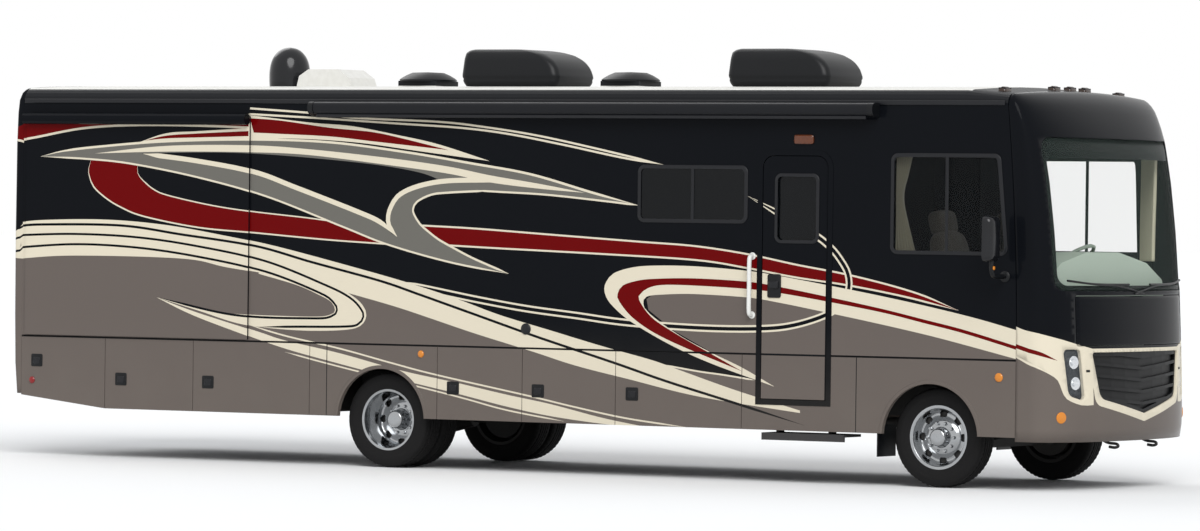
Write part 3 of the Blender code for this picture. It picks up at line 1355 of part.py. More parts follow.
def build_curtains():
    inner = INNER_WALL_Y - GAP
    high, low = CAB_WINDOW_TOP_Z + CURTAIN_ABOVE, CAB_WINDOW_LOW_Z - CURTAIN_BELOW
    outline = [(CAB_WINDOW_REAR_X + CURTAIN_WIDTH * along, low + (high - low) * up)
               for along, up in CURTAIN_SIDE_SHARES]
    plate("curtain_right", [outline], "side", -inner, -inner + CURTAIN_THICKNESS,
          "curtain_cloth")
    front = CAB_WINDOW_LOW_FRONT_X - CURTAIN_SETBACK
    outline = [(front + CURTAIN_WRAP * along, inner + CURTAIN_WRAP * across)
               for along, across in CURTAIN_PLAN_SHARES]
    plate("curtain_left", [outline], "plan", low, high - CURTAIN_ABOVE / 2, "curtain_cloth")


# Roof equipment
AC_LENGTH = 0.98
AC_WIDTH = 0.68
AC_HEIGHT = 0.32
AC_EDGE_RADIUS = 0.03
AC_STATIONS = {"ac_front": 1.966, "ac_rear": -0.68}

# A shroud from the side, rear to front, and from the front
AC_SIDE_SHARES = ((0, 0.28), (0.05, 0), (0.95, 0), (1.0, 0.27), (0.944, 0.65), (0.825, 0.90),
                  (0.595, 1.0), (0.03, 0.94))
AC_FRONT_SHARES = ((-1, 0), (1, 0), (1, 0.40), (0.86, 1), (-0.86, 1), (-1, 0.40))
DOME_X = -3.15
DOME_RADIUS = 0.185
DOME_HEIGHT = 0.35
DOME_SHARES = ((0, 1.0), (0.45, 0.93), (0.80, 0.72), (0.97, 0.42), (1.0, 0.18), (0.96, 0.0),
               (0, 0))


def build_roof_equipment():
    base = ROOF_TOP_Z + GAP
    for name, station in AC_STATIONS.items():
        rear = station - AC_LENGTH / 2
        points = [(rear + along * AC_LENGTH, base + up * AC_HEIGHT)
                  for along, up in AC_SIDE_SHARES]
        shroud = plate(name, [points], "side", -AC_WIDTH / 2, AC_WIDTH / 2, "black_plastic")
        section = [(AC_WIDTH / 2 * across, base + up * AC_HEIGHT)
                   for across, up in AC_FRONT_SHARES]
        boolean(shroud, plate(name + "_section", [section], "front", rear - OVERRUN,
                              rear + AC_LENGTH + OVERRUN, None, cutters), "INTERSECT")
        soften = shroud.modifiers.new("soft_edges", "BEVEL")
        soften.width = AC_EDGE_RADIUS
        soften.segments = 2
        soften.limit_method = "ANGLE"
        soften.angle_limit = math.radians(60)
    profile = [(radius * DOME_RADIUS, up * DOME_HEIGHT) for radius, up in DOME_SHARES]
    dome = turned("satellite_dome", profile, "black_plastic", (DOME_X, 0, base), 0)
    dome.rotation_euler = (0, 0, 0)


AWNING_REAR_X = -2.04
AWNING_FRONT_X = 3.41
AWNING_LOW_Z = 2.935
AWNING_TOP_Z = 3.12
AWNING_DEPTH = 0.12
AWNING_CORNER = 0.05
AWNING_CAP_LENGTH = 0.07
AWNING_CAP_PROUD = 0.012


def awning_section(proud):
    wall = -HALF_WIDTH - GAP
    low, high = AWNING_LOW_Z - proud, min(AWNING_TOP_Z + proud, WALL_TOP_Z)
    return rounded([(wall, low, 0), (wall, high, 0),
                    (wall - AWNING_DEPTH - proud, high, AWNING_CORNER),
                    (wall - AWNING_DEPTH - proud, low, AWNING_CORNER)])


def build_awning():
    awning = plate("awning", [awning_section(0)], "front", AWNING_REAR_X, AWNING_FRONT_X,
                   "black_plastic")
    for start, label in ((AWNING_REAR_X, "rear"), (AWNING_FRONT_X - AWNING_CAP_LENGTH, "front")):
        cap = plate("awning_cap_" + label, [awning_section(AWNING_CAP_PROUD)], "front",
                    start, start + AWNING_CAP_LENGTH + OVERRUN, None, cutters)
        boolean(awning, cap, "UNION")


MIRROR_X = 4.62
MIRROR_REACH = 0.2475
MIRROR_Y = HALF_WIDTH + MIRROR_REACH
MIRROR_LOW_Z = 1.85
MIRROR_TOP_Z = 2.22
MIRROR_WIDTH = 0.20
MIRROR_DEPTH = 0.09
MIRROR_CORNER = 0.045
MIRROR_ARM_RADIUS = 0.02
MIRROR_ARM_DROP = 0.12
MIRROR_ARM_BEND = 0.06


def build_mirrors():
    for side, label in ((-1, "right"), (1, "left")):
        across = sorted((side * (MIRROR_Y - MIRROR_WIDTH / 2), side * (MIRROR_Y + MIRROR_WIDTH / 2)))
        outline = rounded_box(*across, MIRROR_LOW_Z, MIRROR_TOP_Z, MIRROR_CORNER)
        head = plate("mirror_" + label, [outline], "front", MIRROR_X - MIRROR_DEPTH / 2,
                     MIRROR_X + MIRROR_DEPTH / 2, "black_plastic")
        arm_z = MIRROR_LOW_Z - MIRROR_ARM_DROP
        path = [(MIRROR_X, side * MIRROR_Y, MIRROR_LOW_Z + MIRROR_ARM_BEND),
                (MIRROR_X, side * MIRROR_Y, arm_z + MIRROR_ARM_BEND),
                (MIRROR_X, side * (MIRROR_Y - MIRROR_ARM_BEND), arm_z),
                (MIRROR_X, side * (HALF_WIDTH + GAP), arm_z)]
        boolean(head, tube("mirror_arm_" + label, path, MIRROR_ARM_RADIUS, None, False, cutters),
                "UNION")


def main():
    clear_scene()
    build_chassis()
    build_engine()
    build_front_axle()
    build_rear_axle()
    for side, label in ((-1, "right"), (1, "left")):
        build_knuckle(label, side)
    build_wheels()
    build_floor()
    build_bays()
    build_side_walls()
    build_lower_body()
    build_front_cap()
    build_rear_cap()
    build_roof()
    build_entry_door()
    build_slides()
    build_dash()
    build_seats()
    build_curtains()
    build_roof_equipment()
    build_awning()
    build_mirrors()


main()
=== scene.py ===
import json
import math

import bpy
import numpy as np
from mathutils import Matrix, Vector
from mathutils.geometry import delaunay_2d_cdt

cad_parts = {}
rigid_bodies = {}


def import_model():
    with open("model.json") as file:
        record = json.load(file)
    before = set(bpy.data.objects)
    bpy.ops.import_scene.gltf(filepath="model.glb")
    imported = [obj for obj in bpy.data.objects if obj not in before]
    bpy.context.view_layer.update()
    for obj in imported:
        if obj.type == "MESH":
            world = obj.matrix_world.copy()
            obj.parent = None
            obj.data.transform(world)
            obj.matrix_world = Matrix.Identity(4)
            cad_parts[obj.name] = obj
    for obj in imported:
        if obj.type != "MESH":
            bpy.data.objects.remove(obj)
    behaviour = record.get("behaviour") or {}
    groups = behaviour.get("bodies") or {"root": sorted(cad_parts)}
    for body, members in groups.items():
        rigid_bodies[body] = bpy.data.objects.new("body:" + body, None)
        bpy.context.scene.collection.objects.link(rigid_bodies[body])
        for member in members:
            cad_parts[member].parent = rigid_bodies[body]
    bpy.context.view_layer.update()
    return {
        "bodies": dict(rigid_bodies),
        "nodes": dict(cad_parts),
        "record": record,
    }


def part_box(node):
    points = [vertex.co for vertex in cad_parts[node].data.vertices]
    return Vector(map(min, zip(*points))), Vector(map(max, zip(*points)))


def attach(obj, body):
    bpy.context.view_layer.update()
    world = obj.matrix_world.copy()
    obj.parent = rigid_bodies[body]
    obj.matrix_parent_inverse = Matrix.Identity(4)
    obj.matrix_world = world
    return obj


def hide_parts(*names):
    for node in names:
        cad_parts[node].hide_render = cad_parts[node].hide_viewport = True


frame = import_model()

print("frame loaded:", len(frame["nodes"]), "nodes")


# Colour and node helpers

def srgb(hexText):
    # sRGB hex to the linear values a shader takes
    values = [int(hexText[i:i + 2], 16) / 255 for i in (1, 3, 5)]
    return tuple(v / 12.92 if v <= 0.04045 else ((v + 0.055) / 1.055) ** 2.4 for v in values) + (1.0,)


def addNode(tree, kind, settings=None, links=None):
    # settings: attribute or input name to value; links: input name to an output socket
    node = tree.nodes.new(kind)
    for name, value in (settings or {}).items():
        if isinstance(name, str) and hasattr(node, name):
            setattr(node, name, value)
        else:
            node.inputs[name].default_value = value
    for name, socket in (links or {}).items():
        tree.links.new(socket, node.inputs[name])
    return node


def newMaterial(name, shaderSettings):
    material = bpy.data.materials.new(name)
    material.use_nodes = True
    tree = material.node_tree
    shader = tree.nodes["Principled BSDF"]
    for key, value in shaderSettings.items():
        shader.inputs[key].default_value = value
    return material, tree, shader


def mixColour(tree, factor, first, second, blend="MIX"):
    # two colours or sockets mixed by a socket or a number
    node = tree.nodes.new("ShaderNodeMix")
    node.data_type = "RGBA"
    node.blend_type = blend
    for index, value in ((0, factor), (6, first), (7, second)):
        if isinstance(value, (int, float, tuple)):
            node.inputs[index].default_value = value
        else:
            tree.links.new(value, node.inputs[index])
    return node.outputs[2]


# Camera, floor and light

cameraView = {
    "place": (27.5001750, -46.4572686, 2.19385901),   # metres, from the photo's perspective
    "yaw": 0.533397131, "pitch": -0.00821290573, "roll": -0.0126192225,
    "lens": 188.08, "sensor": 36.0,
}


def makeCamera():
    yaw, pitch, roll = cameraView["yaw"], cameraView["pitch"], cameraView["roll"]
    ahead = Vector((-math.sin(yaw) * math.cos(pitch), math.cos(yaw) * math.cos(pitch), math.sin(pitch)))
    level = Vector((math.cos(yaw), math.sin(yaw), 0))
    upright = level.cross(ahead)
    right = level * math.cos(roll) - upright * math.sin(roll)
    up = right.cross(ahead)
    lens = bpy.data.cameras.new("photoLens")
    lens.lens = cameraView["lens"]
    lens.sensor_width = cameraView["sensor"]
    lens.sensor_fit = "HORIZONTAL"
    lens.clip_start, lens.clip_end = 0.5, 600
    camera = bpy.data.objects.new("photoCamera", lens)
    bpy.context.scene.collection.objects.link(camera)
    turn = Matrix((right, up, -ahead)).transposed().to_4x4()
    camera.matrix_world = Matrix.Translation(cameraView["place"]) @ turn
    bpy.context.scene.camera = camera


stageLook = {
    "floorSize": 700.0, "floorColour": "#FBFBFA",
    "fill": 0.62,          # world strength for diffuse light
    "keyStrength": 2.0, "keyAngle": 38.0, "keyDirection": (-0.52, 0.66, -0.66),
    "backStrength": 0.5, "backDirection": (0.55, -0.35, -0.5),
}


def makeStage():
    world = bpy.data.worlds.new("softStudio")
    bpy.context.scene.world = world
    world.use_nodes = True
    tree = world.node_tree
    tree.nodes.clear()
    path = addNode(tree, "ShaderNodeLightPath")
    camOrGloss = addNode(tree, "ShaderNodeMath", {"operation": "MAXIMUM"})
    tree.links.new(path.outputs["Is Camera Ray"], camOrGloss.inputs[0])
    tree.links.new(path.outputs["Is Glossy Ray"], camOrGloss.inputs[1])
    seen = addNode(tree, "ShaderNodeMath", {"operation": "MAXIMUM"})
    tree.links.new(camOrGloss.outputs[0], seen.inputs[0])
    tree.links.new(path.outputs["Is Transmission Ray"], seen.inputs[1])
    light = addNode(tree, "ShaderNodeBackground",
                    {"Color": srgb("#F2F5FA"), "Strength": stageLook["fill"]})
    shown = addNode(tree, "ShaderNodeBackground", {"Color": (1, 1, 1, 1), "Strength": 1.0})
    mix = addNode(tree, "ShaderNodeMixShader", {}, {0: seen.outputs[0], 1: light.outputs[0],
                                                    2: shown.outputs[0]})
    out = addNode(tree, "ShaderNodeOutputWorld")
    tree.links.new(mix.outputs[0], out.inputs[0])

    half = stageLook["floorSize"] / 2
    mesh = bpy.data.meshes.new("studioFloor")
    mesh.from_pydata([(-half, -half, 0), (half, -half, 0), (half, half, 0), (-half, half, 0)],
                     [], [(0, 1, 2, 3)])
    floor = bpy.data.objects.new("studioFloor", mesh)
    bpy.context.scene.collection.objects.link(floor)
    material, tree, shader = newMaterial("paleStudioFloor", {
        "Base Color": srgb(stageLook["floorColour"]), "Roughness": 0.9, "Specular IOR Level": 0.1})
    mesh.materials.append(material)

    for name, strength, direction in (("keySun", stageLook["keyStrength"], stageLook["keyDirection"]),
                                      ("backSun", stageLook["backStrength"], stageLook["backDirection"])):
        lamp = bpy.data.lights.new(name, "SUN")
        lamp.energy = strength
        lamp.angle = math.radians(stageLook["keyAngle"])
        holder = bpy.data.objects.new(name, lamp)
        bpy.context.scene.collection.objects.link(holder)
        holder.rotation_euler = Vector(direction).to_track_quat("-Z", "Y").to_euler()


makeCamera()
makeStage()
bpy.context.scene.view_settings.view_transform = "Standard"
print("camera, floor and light made")


# Finishes

def paintMaterial(name, hexText, coat=0.45):
    # sprayed urethane base and clear coat: a hard gloss, faint orange peel, road film low down
    material, tree, shader = newMaterial(name, {"Roughness": 0.34, "IOR": 1.07, "Coat Weight": coat,
                                                "Coat Roughness": 0.045, "Coat IOR": 1.18})
    coords = addNode(tree, "ShaderNodeTexCoord")
    split = addNode(tree, "ShaderNodeSeparateXYZ", {}, {0: coords.outputs["Object"]})
    film = addNode(tree, "ShaderNodeMapRange", {"From Min": 0.3, "From Max": 1.3, "To Min": 0.10,
                                                "To Max": 0.0}, {"Value": split.outputs["Z"]})
    cloud = addNode(tree, "ShaderNodeTexNoise", {"Scale": 2.4, "Detail": 4.0},
                    {"Vector": coords.outputs["Object"]})
    amount = addNode(tree, "ShaderNodeMath", {"operation": "MULTIPLY"},
                     {0: film.outputs["Result"], 1: cloud.outputs["Fac"]})
    colour = mixColour(tree, amount.outputs[0], srgb(hexText), srgb("#A39C8E"))
    tree.links.new(colour, shader.inputs["Base Color"])
    peel = addNode(tree, "ShaderNodeTexNoise", {"Scale": 180.0, "Detail": 1.0},
                   {"Vector": coords.outputs["Object"]})
    bump = addNode(tree, "ShaderNodeBump", {"Strength": 0.02, "Distance": 0.001},
                   {"Height": peel.outputs["Fac"]})
    tree.links.new(bump.outputs["Normal"], shader.inputs["Normal"])
    return material


def speckMaterial(name, hexText, otherHex, size, settings, bumpDepth=0.0004, bumpStrength=0.3):
    # a moulded or cast surface: two close colours in a grain of that size in metres, with relief
    material, tree, shader = newMaterial(name, settings)
    coords = addNode(tree, "ShaderNodeTexCoord")
    grain = addNode(tree, "ShaderNodeTexNoise", {"Scale": 1 / size, "Detail": 3.0, "Roughness": 0.6},
                    {"Vector": coords.outputs["Object"]})
    colour = mixColour(tree, grain.outputs["Fac"], srgb(hexText), srgb(otherHex))
    tree.links.new(colour, shader.inputs["Base Color"])
    bump = addNode(tree, "ShaderNodeBump", {"Strength": bumpStrength, "Distance": bumpDepth},
                   {"Height": grain.outputs["Fac"]})
    tree.links.new(bump.outputs["Normal"], shader.inputs["Normal"])
    return material


paints = {
    "black": paintMaterial("clearCoatedBlackUrethane", "#0E1014"),
    "taupe": paintMaterial("clearCoatedTaupeUrethane", "#665E59"),
    "cream": paintMaterial("clearCoatedCreamUrethane", "#DAD1BC"),
    "red": paintMaterial("clearCoatedDeepRedUrethane", "#660406"),
    "grey": paintMaterial("clearCoatedWarmGreyUrethane", "#6B6963"),
}
finishes = {
    "body_paint": paints["black"],
    "taupe_paint": paints["taupe"],
    # white gelcoat over fibreglass, weathered chalky: nearly no gloss
    "white_roof": speckMaterial("weatheredWhiteGelcoat", "#E9E8E3", "#D9D7D0", 0.05,
                                {"Roughness": 0.5, "IOR": 1.5}, 0.0006),
    # ABS moulded in black with a fine grain
    "black_plastic": speckMaterial("grainedBlackAbs", "#0A0B0D", "#121417", 0.004,
                                   {"Roughness": 0.38, "IOR": 1.32}, 0.0003),
    # chassis black, sprayed over rolled steel: dull, a little dusty
    "frame_black": speckMaterial("sprayedChassisBlack", "#1A1A1A", "#2A2826", 0.02,
                                 {"Roughness": 0.62, "IOR": 1.45}, 0.0008),
    "cast_grey": speckMaterial("sandCastIron", "#3A3A39", "#4A4744", 0.006,
                               {"Roughness": 0.7, "Metallic": 0.4}, 0.0009, 0.6),
    # carbon-black rubber, cured in a mould: very dark with a soft dusty sheen
    "rubber": speckMaterial("curedTyreRubber", "#0F0F10", "#191818", 0.01,
                            {"Roughness": 0.8, "IOR": 1.3}, 0.0004),
    # polished stainless steel wheel covers: a mirror with a faint haze
    "chrome": speckMaterial("polishedStainless", "#AEB0B2", "#9FA1A3", 0.08,
                            {"Roughness": 0.14, "Metallic": 1.0}, 0.0001, 0.05),
    "trim_grey": speckMaterial("mouldedGreyGreenDash", "#B4C2B2", "#A6B4A5", 0.004,
                               {"Roughness": 0.6, "IOR": 1.46}, 0.0003),
    "seat_cloth": speckMaterial("wovenSeatCloth", "#5A564E", "#6E695F", 0.003,
                                {"Roughness": 0.9, "Sheen Weight": 0.3}, 0.0006, 0.5),
    "curtain_cloth": speckMaterial("wovenCurtainCloth", "#B8B49B", "#C8C4AC", 0.003,
                                   {"Roughness": 0.95, "Sheen Weight": 0.4}, 0.0005, 0.5),
    # plywood under a sprayed dark sealer, as the step and the underside show
    "floor_ply": speckMaterial("darkSealedFloorPly", "#26262A", "#322F2C", 0.03,
                               {"Roughness": 0.6}, 0.0003),
}


def glassMaterial(name, hexText, alpha, roughness=0.02):
    # tinted automotive glass: a dark see-through film under a hard gloss
    material, tree, shader = newMaterial(name, {"Roughness": roughness, "IOR": 1.3, "Alpha": alpha})
    coords = addNode(tree, "ShaderNodeTexCoord")
    haze = addNode(tree, "ShaderNodeTexNoise", {"Scale": 1.5, "Detail": 2.0},
                   {"Vector": coords.outputs["Object"]})
    deep = tuple(v * 0.7 for v in srgb(hexText)[:3]) + (1.0,)
    tree.links.new(mixColour(tree, haze.outputs["Fac"], deep, srgb(hexText)), shader.inputs["Base Color"])
    return material


def roofMaterial():
    # chalky white gelcoat; black paint over the rounded edge, the cab's brow and the vent curbs
    material, tree, shader = newMaterial("whiteGelcoatBlackEdge", {"Roughness": 0.45, "IOR": 1.3})
    coords = addNode(tree, "ShaderNodeTexCoord")
    split = addNode(tree, "ShaderNodeSeparateXYZ", {}, {0: coords.outputs["Object"]})
    across = addNode(tree, "ShaderNodeMath", {"operation": "ABSOLUTE"}, {0: split.outputs["Y"]})
    edge = addNode(tree, "ShaderNodeMath", {"operation": "GREATER_THAN", 1: 1.222}, {0: across.outputs[0]})
    brow = addNode(tree, "ShaderNodeMath", {"operation": "GREATER_THAN", 1: 4.27}, {0: split.outputs["X"]})
    ahead = addNode(tree, "ShaderNodeMath", {"operation": "GREATER_THAN", 1: -2.3}, {0: split.outputs["X"]})
    above = addNode(tree, "ShaderNodeMath", {"operation": "GREATER_THAN", 1: 3.292},
                    {0: split.outputs["Z"]})
    curb = addNode(tree, "ShaderNodeMath", {"operation": "MULTIPLY"},
                   {0: ahead.outputs[0], 1: above.outputs[0]})
    borders = addNode(tree, "ShaderNodeMath", {"operation": "MAXIMUM"},
                      {0: edge.outputs[0], 1: brow.outputs[0]})
    painted = addNode(tree, "ShaderNodeMath", {"operation": "MAXIMUM"},
                      {0: borders.outputs[0], 1: curb.outputs[0]})
    grain = addNode(tree, "ShaderNodeTexNoise", {"Scale": 20.0, "Detail": 3.0},
                    {"Vector": coords.outputs["Object"]})
    white = mixColour(tree, grain.outputs["Fac"], srgb("#E9E8E3"), srgb("#D9D7D0"))
    tree.links.new(mixColour(tree, painted.outputs[0], white, srgb("#0E1014")), shader.inputs["Base Color"])
    return material


finishes["tinted_glass"] = glassMaterial("tintedWindowGlass", "#0A0D10", 0.85)
finishes["lamp_lens"] = glassMaterial("clearPolycarbonateLens", "#C9CFD3", 0.45)

for item in frame["record"]["subparts"]:
    node = frame["nodes"][item["node"]]
    node.data.materials.clear()
    node.data.materials.append(finishes[item["material_slot"]])
# the driver's side window is clear glass, and the grille is moulded in a deeper black
frame["nodes"]["window_cab_left"].data.materials[0] = glassMaterial("clearCabGlass", "#9DB0A6", 0.05)
frame["nodes"]["window_cab_right"].data.materials[0] = glassMaterial("lightTintCabGlass", "#0C1012", 0.32)
frame["nodes"]["roof"].data.materials[0] = roofMaterial()
grilleAbs = speckMaterial("satinBlackGrilleAbs", "#08090A", "#101113", 0.004,
                          {"Roughness": 0.5, "IOR": 1.3}, 0.0003)
frame["nodes"]["grille"].data.materials[0] = grilleAbs
print("finishes assigned")


# Shapes drawn on a flat plane (along, up), in metres

def smoothCurve(points, step=0.035):
    # Catmull-Rom through the points, read about every step metres
    p = np.array(points, float)
    q = np.vstack([2 * p[0] - p[1], p, 2 * p[-1] - p[-2]])
    runs = []
    for a, b, c, d in zip(q, q[1:], q[2:], q[3:]):
        t = np.linspace(0, 1, max(int(np.linalg.norm(c - b) / step), 2), endpoint=False)[:, None]
        runs.append(b + 0.5 * ((c - a) * t + (2 * a - 5 * b + 4 * c - d) * t ** 2
                               + (3 * b - a - 3 * c + d) * t ** 3))
    return np.vstack(runs + [p[-1:]])


def band(upper, lower):
    # the area between two smooth edges that run the same way
    return np.vstack([smoothCurve(upper), smoothCurve(lower)[::-1]])


def stroke(points, width, taperStart=True, taperEnd=True):
    # a painted line of a given width, drawn out to a point at its ends
    line = smoothCurve(points)
    way = np.gradient(line, axis=0)
    normal = np.stack([-way[:, 1], way[:, 0]], 1)
    normal /= np.linalg.norm(normal, axis=1)[:, None]
    share = np.linspace(0, 1, len(line))
    half = np.full(len(line), width / 2)
    if taperStart:
        half *= np.clip(share / 0.06, 0.08, 1)
    if taperEnd:
        half *= np.clip((1 - share) / 0.06, 0.08, 1)
    return np.vstack([line + normal * half[:, None], (line - normal * half[:, None])[::-1]])


def roundedOutline(corners, steps=6):
    # corners are (along, up, radius), anticlockwise; each becomes an arc tangent to its two sides
    points = []
    for index, (x, z, radius) in enumerate(corners):
        here = np.array((x, z), float)
        before = np.array(corners[index - 1][:2], float) - here
        after = np.array(corners[(index + 1) % len(corners)][:2], float) - here
        before, after = before / np.linalg.norm(before), after / np.linalg.norm(after)
        if radius == 0:
            points.append(here[None])
            continue
        half = math.acos(np.clip(before @ after, -1, 1)) / 2
        centre = here + (before + after) / np.linalg.norm(before + after) * radius / math.sin(half)
        reach = radius / math.tan(half)
        first, last = here + before * reach - centre, here + after * reach - centre
        turn = math.atan2(first[0] * last[1] - first[1] * last[0], first @ last)
        angle = np.linspace(0, turn, steps + 1)
        points.append(np.stack([centre[0] + first[0] * np.cos(angle) - first[1] * np.sin(angle),
                                centre[1] + first[0] * np.sin(angle) + first[1] * np.cos(angle)], 1))
    return np.vstack(points)


def rectangle(left, right, low, high, radius=0.0):
    return roundedOutline([(left, low, radius), (right, low, radius), (right, high, radius),
                           (left, high, radius)])


def inside(polygon, points):
    # even-odd rule: how many sides lie to the right of each point
    hit = np.zeros(len(points), bool)
    box = (points >= polygon.min(0)).all(1) & (points <= polygon.max(0)).all(1)
    px, pz = points[box, 0], points[box, 1]
    inBox = np.zeros(len(px), bool)
    nextPoints = np.roll(polygon, -1, 0)
    for (ax, az), (bx, bz) in zip(polygon, nextPoints):
        if az == bz:
            continue
        crosses = (az > pz) != (bz > pz)
        inBox ^= crosses & (px < (bx - ax) * (pz - az) / (bz - az) + ax)
    hit[box] = inBox
    return hit


# The painted stripes of the right side: (along, up) in metres; the left side has their mirror image

bladeTop = [(-4.91, 2.64), (-4.35, 2.67), (-3.81, 2.67), (-3.24, 2.61), (-2.66, 2.52), (-2.23, 2.39),
            (-1.60, 2.19), (-1.36, 2.10), (-1.19, 1.98), (-0.77, 1.90), (-0.41, 1.78), (-0.07, 1.68)]
bladeLow = [(-4.91, 2.64), (-4.38, 2.62), (-3.92, 2.58), (-3.24, 2.47), (-2.53, 2.31), (-1.75, 2.06),
            (-1.28, 1.91), (-0.66, 1.77), (-0.07, 1.68)]
hookOut = [(-1.00, 1.90), (-1.19, 1.98), (-1.27, 2.07), (-1.28, 2.16), (-1.25, 2.24), (-1.19, 2.32),
           (-1.08, 2.38), (-0.90, 2.43), (-0.67, 2.46), (-0.27, 2.47)]
hookIn = [(-0.07, 1.68), (-0.41, 1.80), (-0.62, 1.89), (-0.77, 1.96), (-0.88, 2.03), (-0.96, 2.09),
          (-1.02, 2.17), (-1.03, 2.22), (-0.99, 2.28), (-0.85, 2.34), (-0.67, 2.36), (-0.27, 2.38)]
topEdge = [(-4.91, 2.64), (-4.66, 2.69), (-4.28, 2.73), (-3.57, 2.78), (-2.67, 2.80), (-1.88, 2.78),
           (-1.11, 2.70), (-0.46, 2.61), (0.14, 2.52), (0.75, 2.37), (1.19, 2.27)]
topLow = [(-4.91, 2.64), (-4.33, 2.65), (-3.57, 2.68), (-2.70, 2.68), (-1.61, 2.61), (-0.98, 2.53),
          (-0.67, 2.43), (-0.41, 2.38), (-0.16, 2.37), (0.30, 2.35), (0.89, 2.30), (1.19, 2.27)]
redRearOut = [(-4.36, 2.63), (-4.39, 2.54), (-4.38, 2.47), (-4.33, 2.38), (-4.21, 2.29), (-4.05, 2.21),
              (-3.80, 2.13), (-3.23, 2.04), (-2.64, 2.00), (-1.90, 1.95), (-1.28, 1.92), (-1.0, 1.90)]
redRearIn = [(-3.87, 2.60), (-3.87, 2.50), (-3.81, 2.43), (-3.69, 2.35), (-3.53, 2.30), (-3.08, 2.22),
             (-2.65, 2.17), (-1.97, 2.11), (-1.40, 2.03), (-1.0, 1.90)]
redMidTop = [(-0.95, 2.07), (-0.41, 2.05), (0.30, 2.01), (1.20, 1.96), (1.74, 1.93), (2.24, 1.87),
             (2.70, 1.79), (3.21, 1.71), (3.76, 1.59), (4.20, 1.45)]
redMidLow = [(-0.70, 1.92), (-0.15, 1.90), (0.76, 1.87), (1.74, 1.83), (2.24, 1.77), (2.70, 1.70),
             (3.21, 1.64), (3.76, 1.55), (4.20, 1.45)]
mainTop = [(-5.20, 2.05), (-4.86, 2.08), (-4.20, 2.09), (-3.56, 2.05), (-2.91, 1.96), (-2.37, 1.87),
           (-1.43, 1.67), (-0.96, 1.56), (-0.55, 1.45), (-0.15, 1.33), (0.35, 1.21), (0.85, 1.09),
           (1.35, 0.98), (1.66, 0.89), (2.15, 0.75), (2.75, 0.60)]
mainLow = [(-5.20, 1.73), (-4.54, 1.77), (-3.39, 1.76), (-2.91, 1.69), (-2.20, 1.60), (-1.68, 1.49),
           (-1.19, 1.38), (-0.81, 1.28), (-0.40, 1.17), (0.17, 1.03), (0.60, 0.92), (1.11, 0.82),
           (1.80, 0.69), (2.75, 0.58)]
loopOut = [(-2.60, 1.78), (-2.22, 1.69), (-1.90, 1.58), (-1.66, 1.48), (-1.53, 1.39), (-1.49, 1.30),
           (-1.55, 1.21), (-1.74, 1.17), (-2.21, 1.16), (-2.75, 1.20), (-3.21, 1.31), (-3.66, 1.42)]
loopIn = [(-2.60, 1.64), (-2.21, 1.55), (-1.98, 1.47), (-1.85, 1.41), (-1.81, 1.34), (-1.86, 1.30),
          (-2.06, 1.28), (-2.84, 1.29), (-3.22, 1.34), (-3.66, 1.42)]
lineOne = [(-5.20, 2.02), (-4.86, 2.04), (-4.04, 2.04), (-3.40, 1.97), (-2.64, 1.88), (-2.06, 1.75),
           (-1.36, 1.60), (-0.96, 1.49), (-0.40, 1.33), (0.23, 1.15), (0.98, 0.95), (1.48, 0.81),
           (2.12, 0.65), (2.79, 0.48)]
lineTwo = [(-5.20, 1.94), (-4.54, 1.96), (-3.88, 1.94), (-3.23, 1.87), (-2.53, 1.75), (-1.90, 1.55),
           (-1.66, 1.45), (-1.55, 1.36), (-1.52, 1.29), (-1.58, 1.22), (-1.74, 1.20), (-2.21, 1.19),
           (-2.6, 1.18)]
lineThree = [(-5.20, 1.83), (-4.53, 1.87), (-3.88, 1.85), (-3.23, 1.78), (-2.53, 1.66), (-1.98, 1.49),
             (-1.83, 1.41), (-1.79, 1.34), (-1.85, 1.285), (-2.06, 1.265), (-2.84, 1.28), (-3.66, 1.42)]
lowTop = [(-3.66, 1.42), (-3.25, 1.30), (-2.60, 1.14), (-2.32, 1.07), (-1.75, 0.97), (-1.14, 0.84),
          (-0.59, 0.75), (-0.08, 0.66), (0.36, 0.59), (0.86, 0.49), (1.25, 0.43)]
lowLow = [(-3.66, 1.42), (-3.30, 1.28), (-2.87, 1.15), (-2.32, 1.00), (-1.75, 0.88), (-1.14, 0.76),
          (-0.59, 0.66), (-0.08, 0.56), (0.36, 0.49), (0.86, 0.44), (1.25, 0.42)]
lowPin = [(-2.75, 1.21), (-2.32, 1.11), (-1.75, 1.01), (-1.23, 0.90), (-0.78, 0.81), (0.11, 0.66),
          (0.61, 0.57), (1.11, 0.49), (1.70, 0.43)]
lowPinTwo = [(-2.32, 0.97), (-1.75, 0.855), (-0.59, 0.635), (-0.08, 0.53), (0.49, 0.45)]
hookTwoOut = [(4.85, 1.27), (4.40, 1.38), (4.01, 1.46), (3.63, 1.53), (3.21, 1.60), (2.56, 1.70),
              (2.24, 1.74), (1.74, 1.77), (1.35, 1.77), (1.13, 1.75), (0.96, 1.70), (0.89, 1.63),
              (0.87, 1.57), (0.89, 1.50), (0.96, 1.42), (1.13, 1.30), (1.50, 1.12), (1.90, 0.97),
              (2.51, 0.79)]
hookTwoIn = [(4.85, 1.04), (4.27, 1.17), (3.89, 1.25), (3.40, 1.34), (2.93, 1.42), (2.56, 1.48),
             (2.25, 1.52), (1.74, 1.54), (1.43, 1.53), (1.28, 1.51), (1.25, 1.45), (1.31, 1.37),
             (1.59, 1.20), (1.90, 1.06), (2.20, 0.94), (2.51, 0.79)]
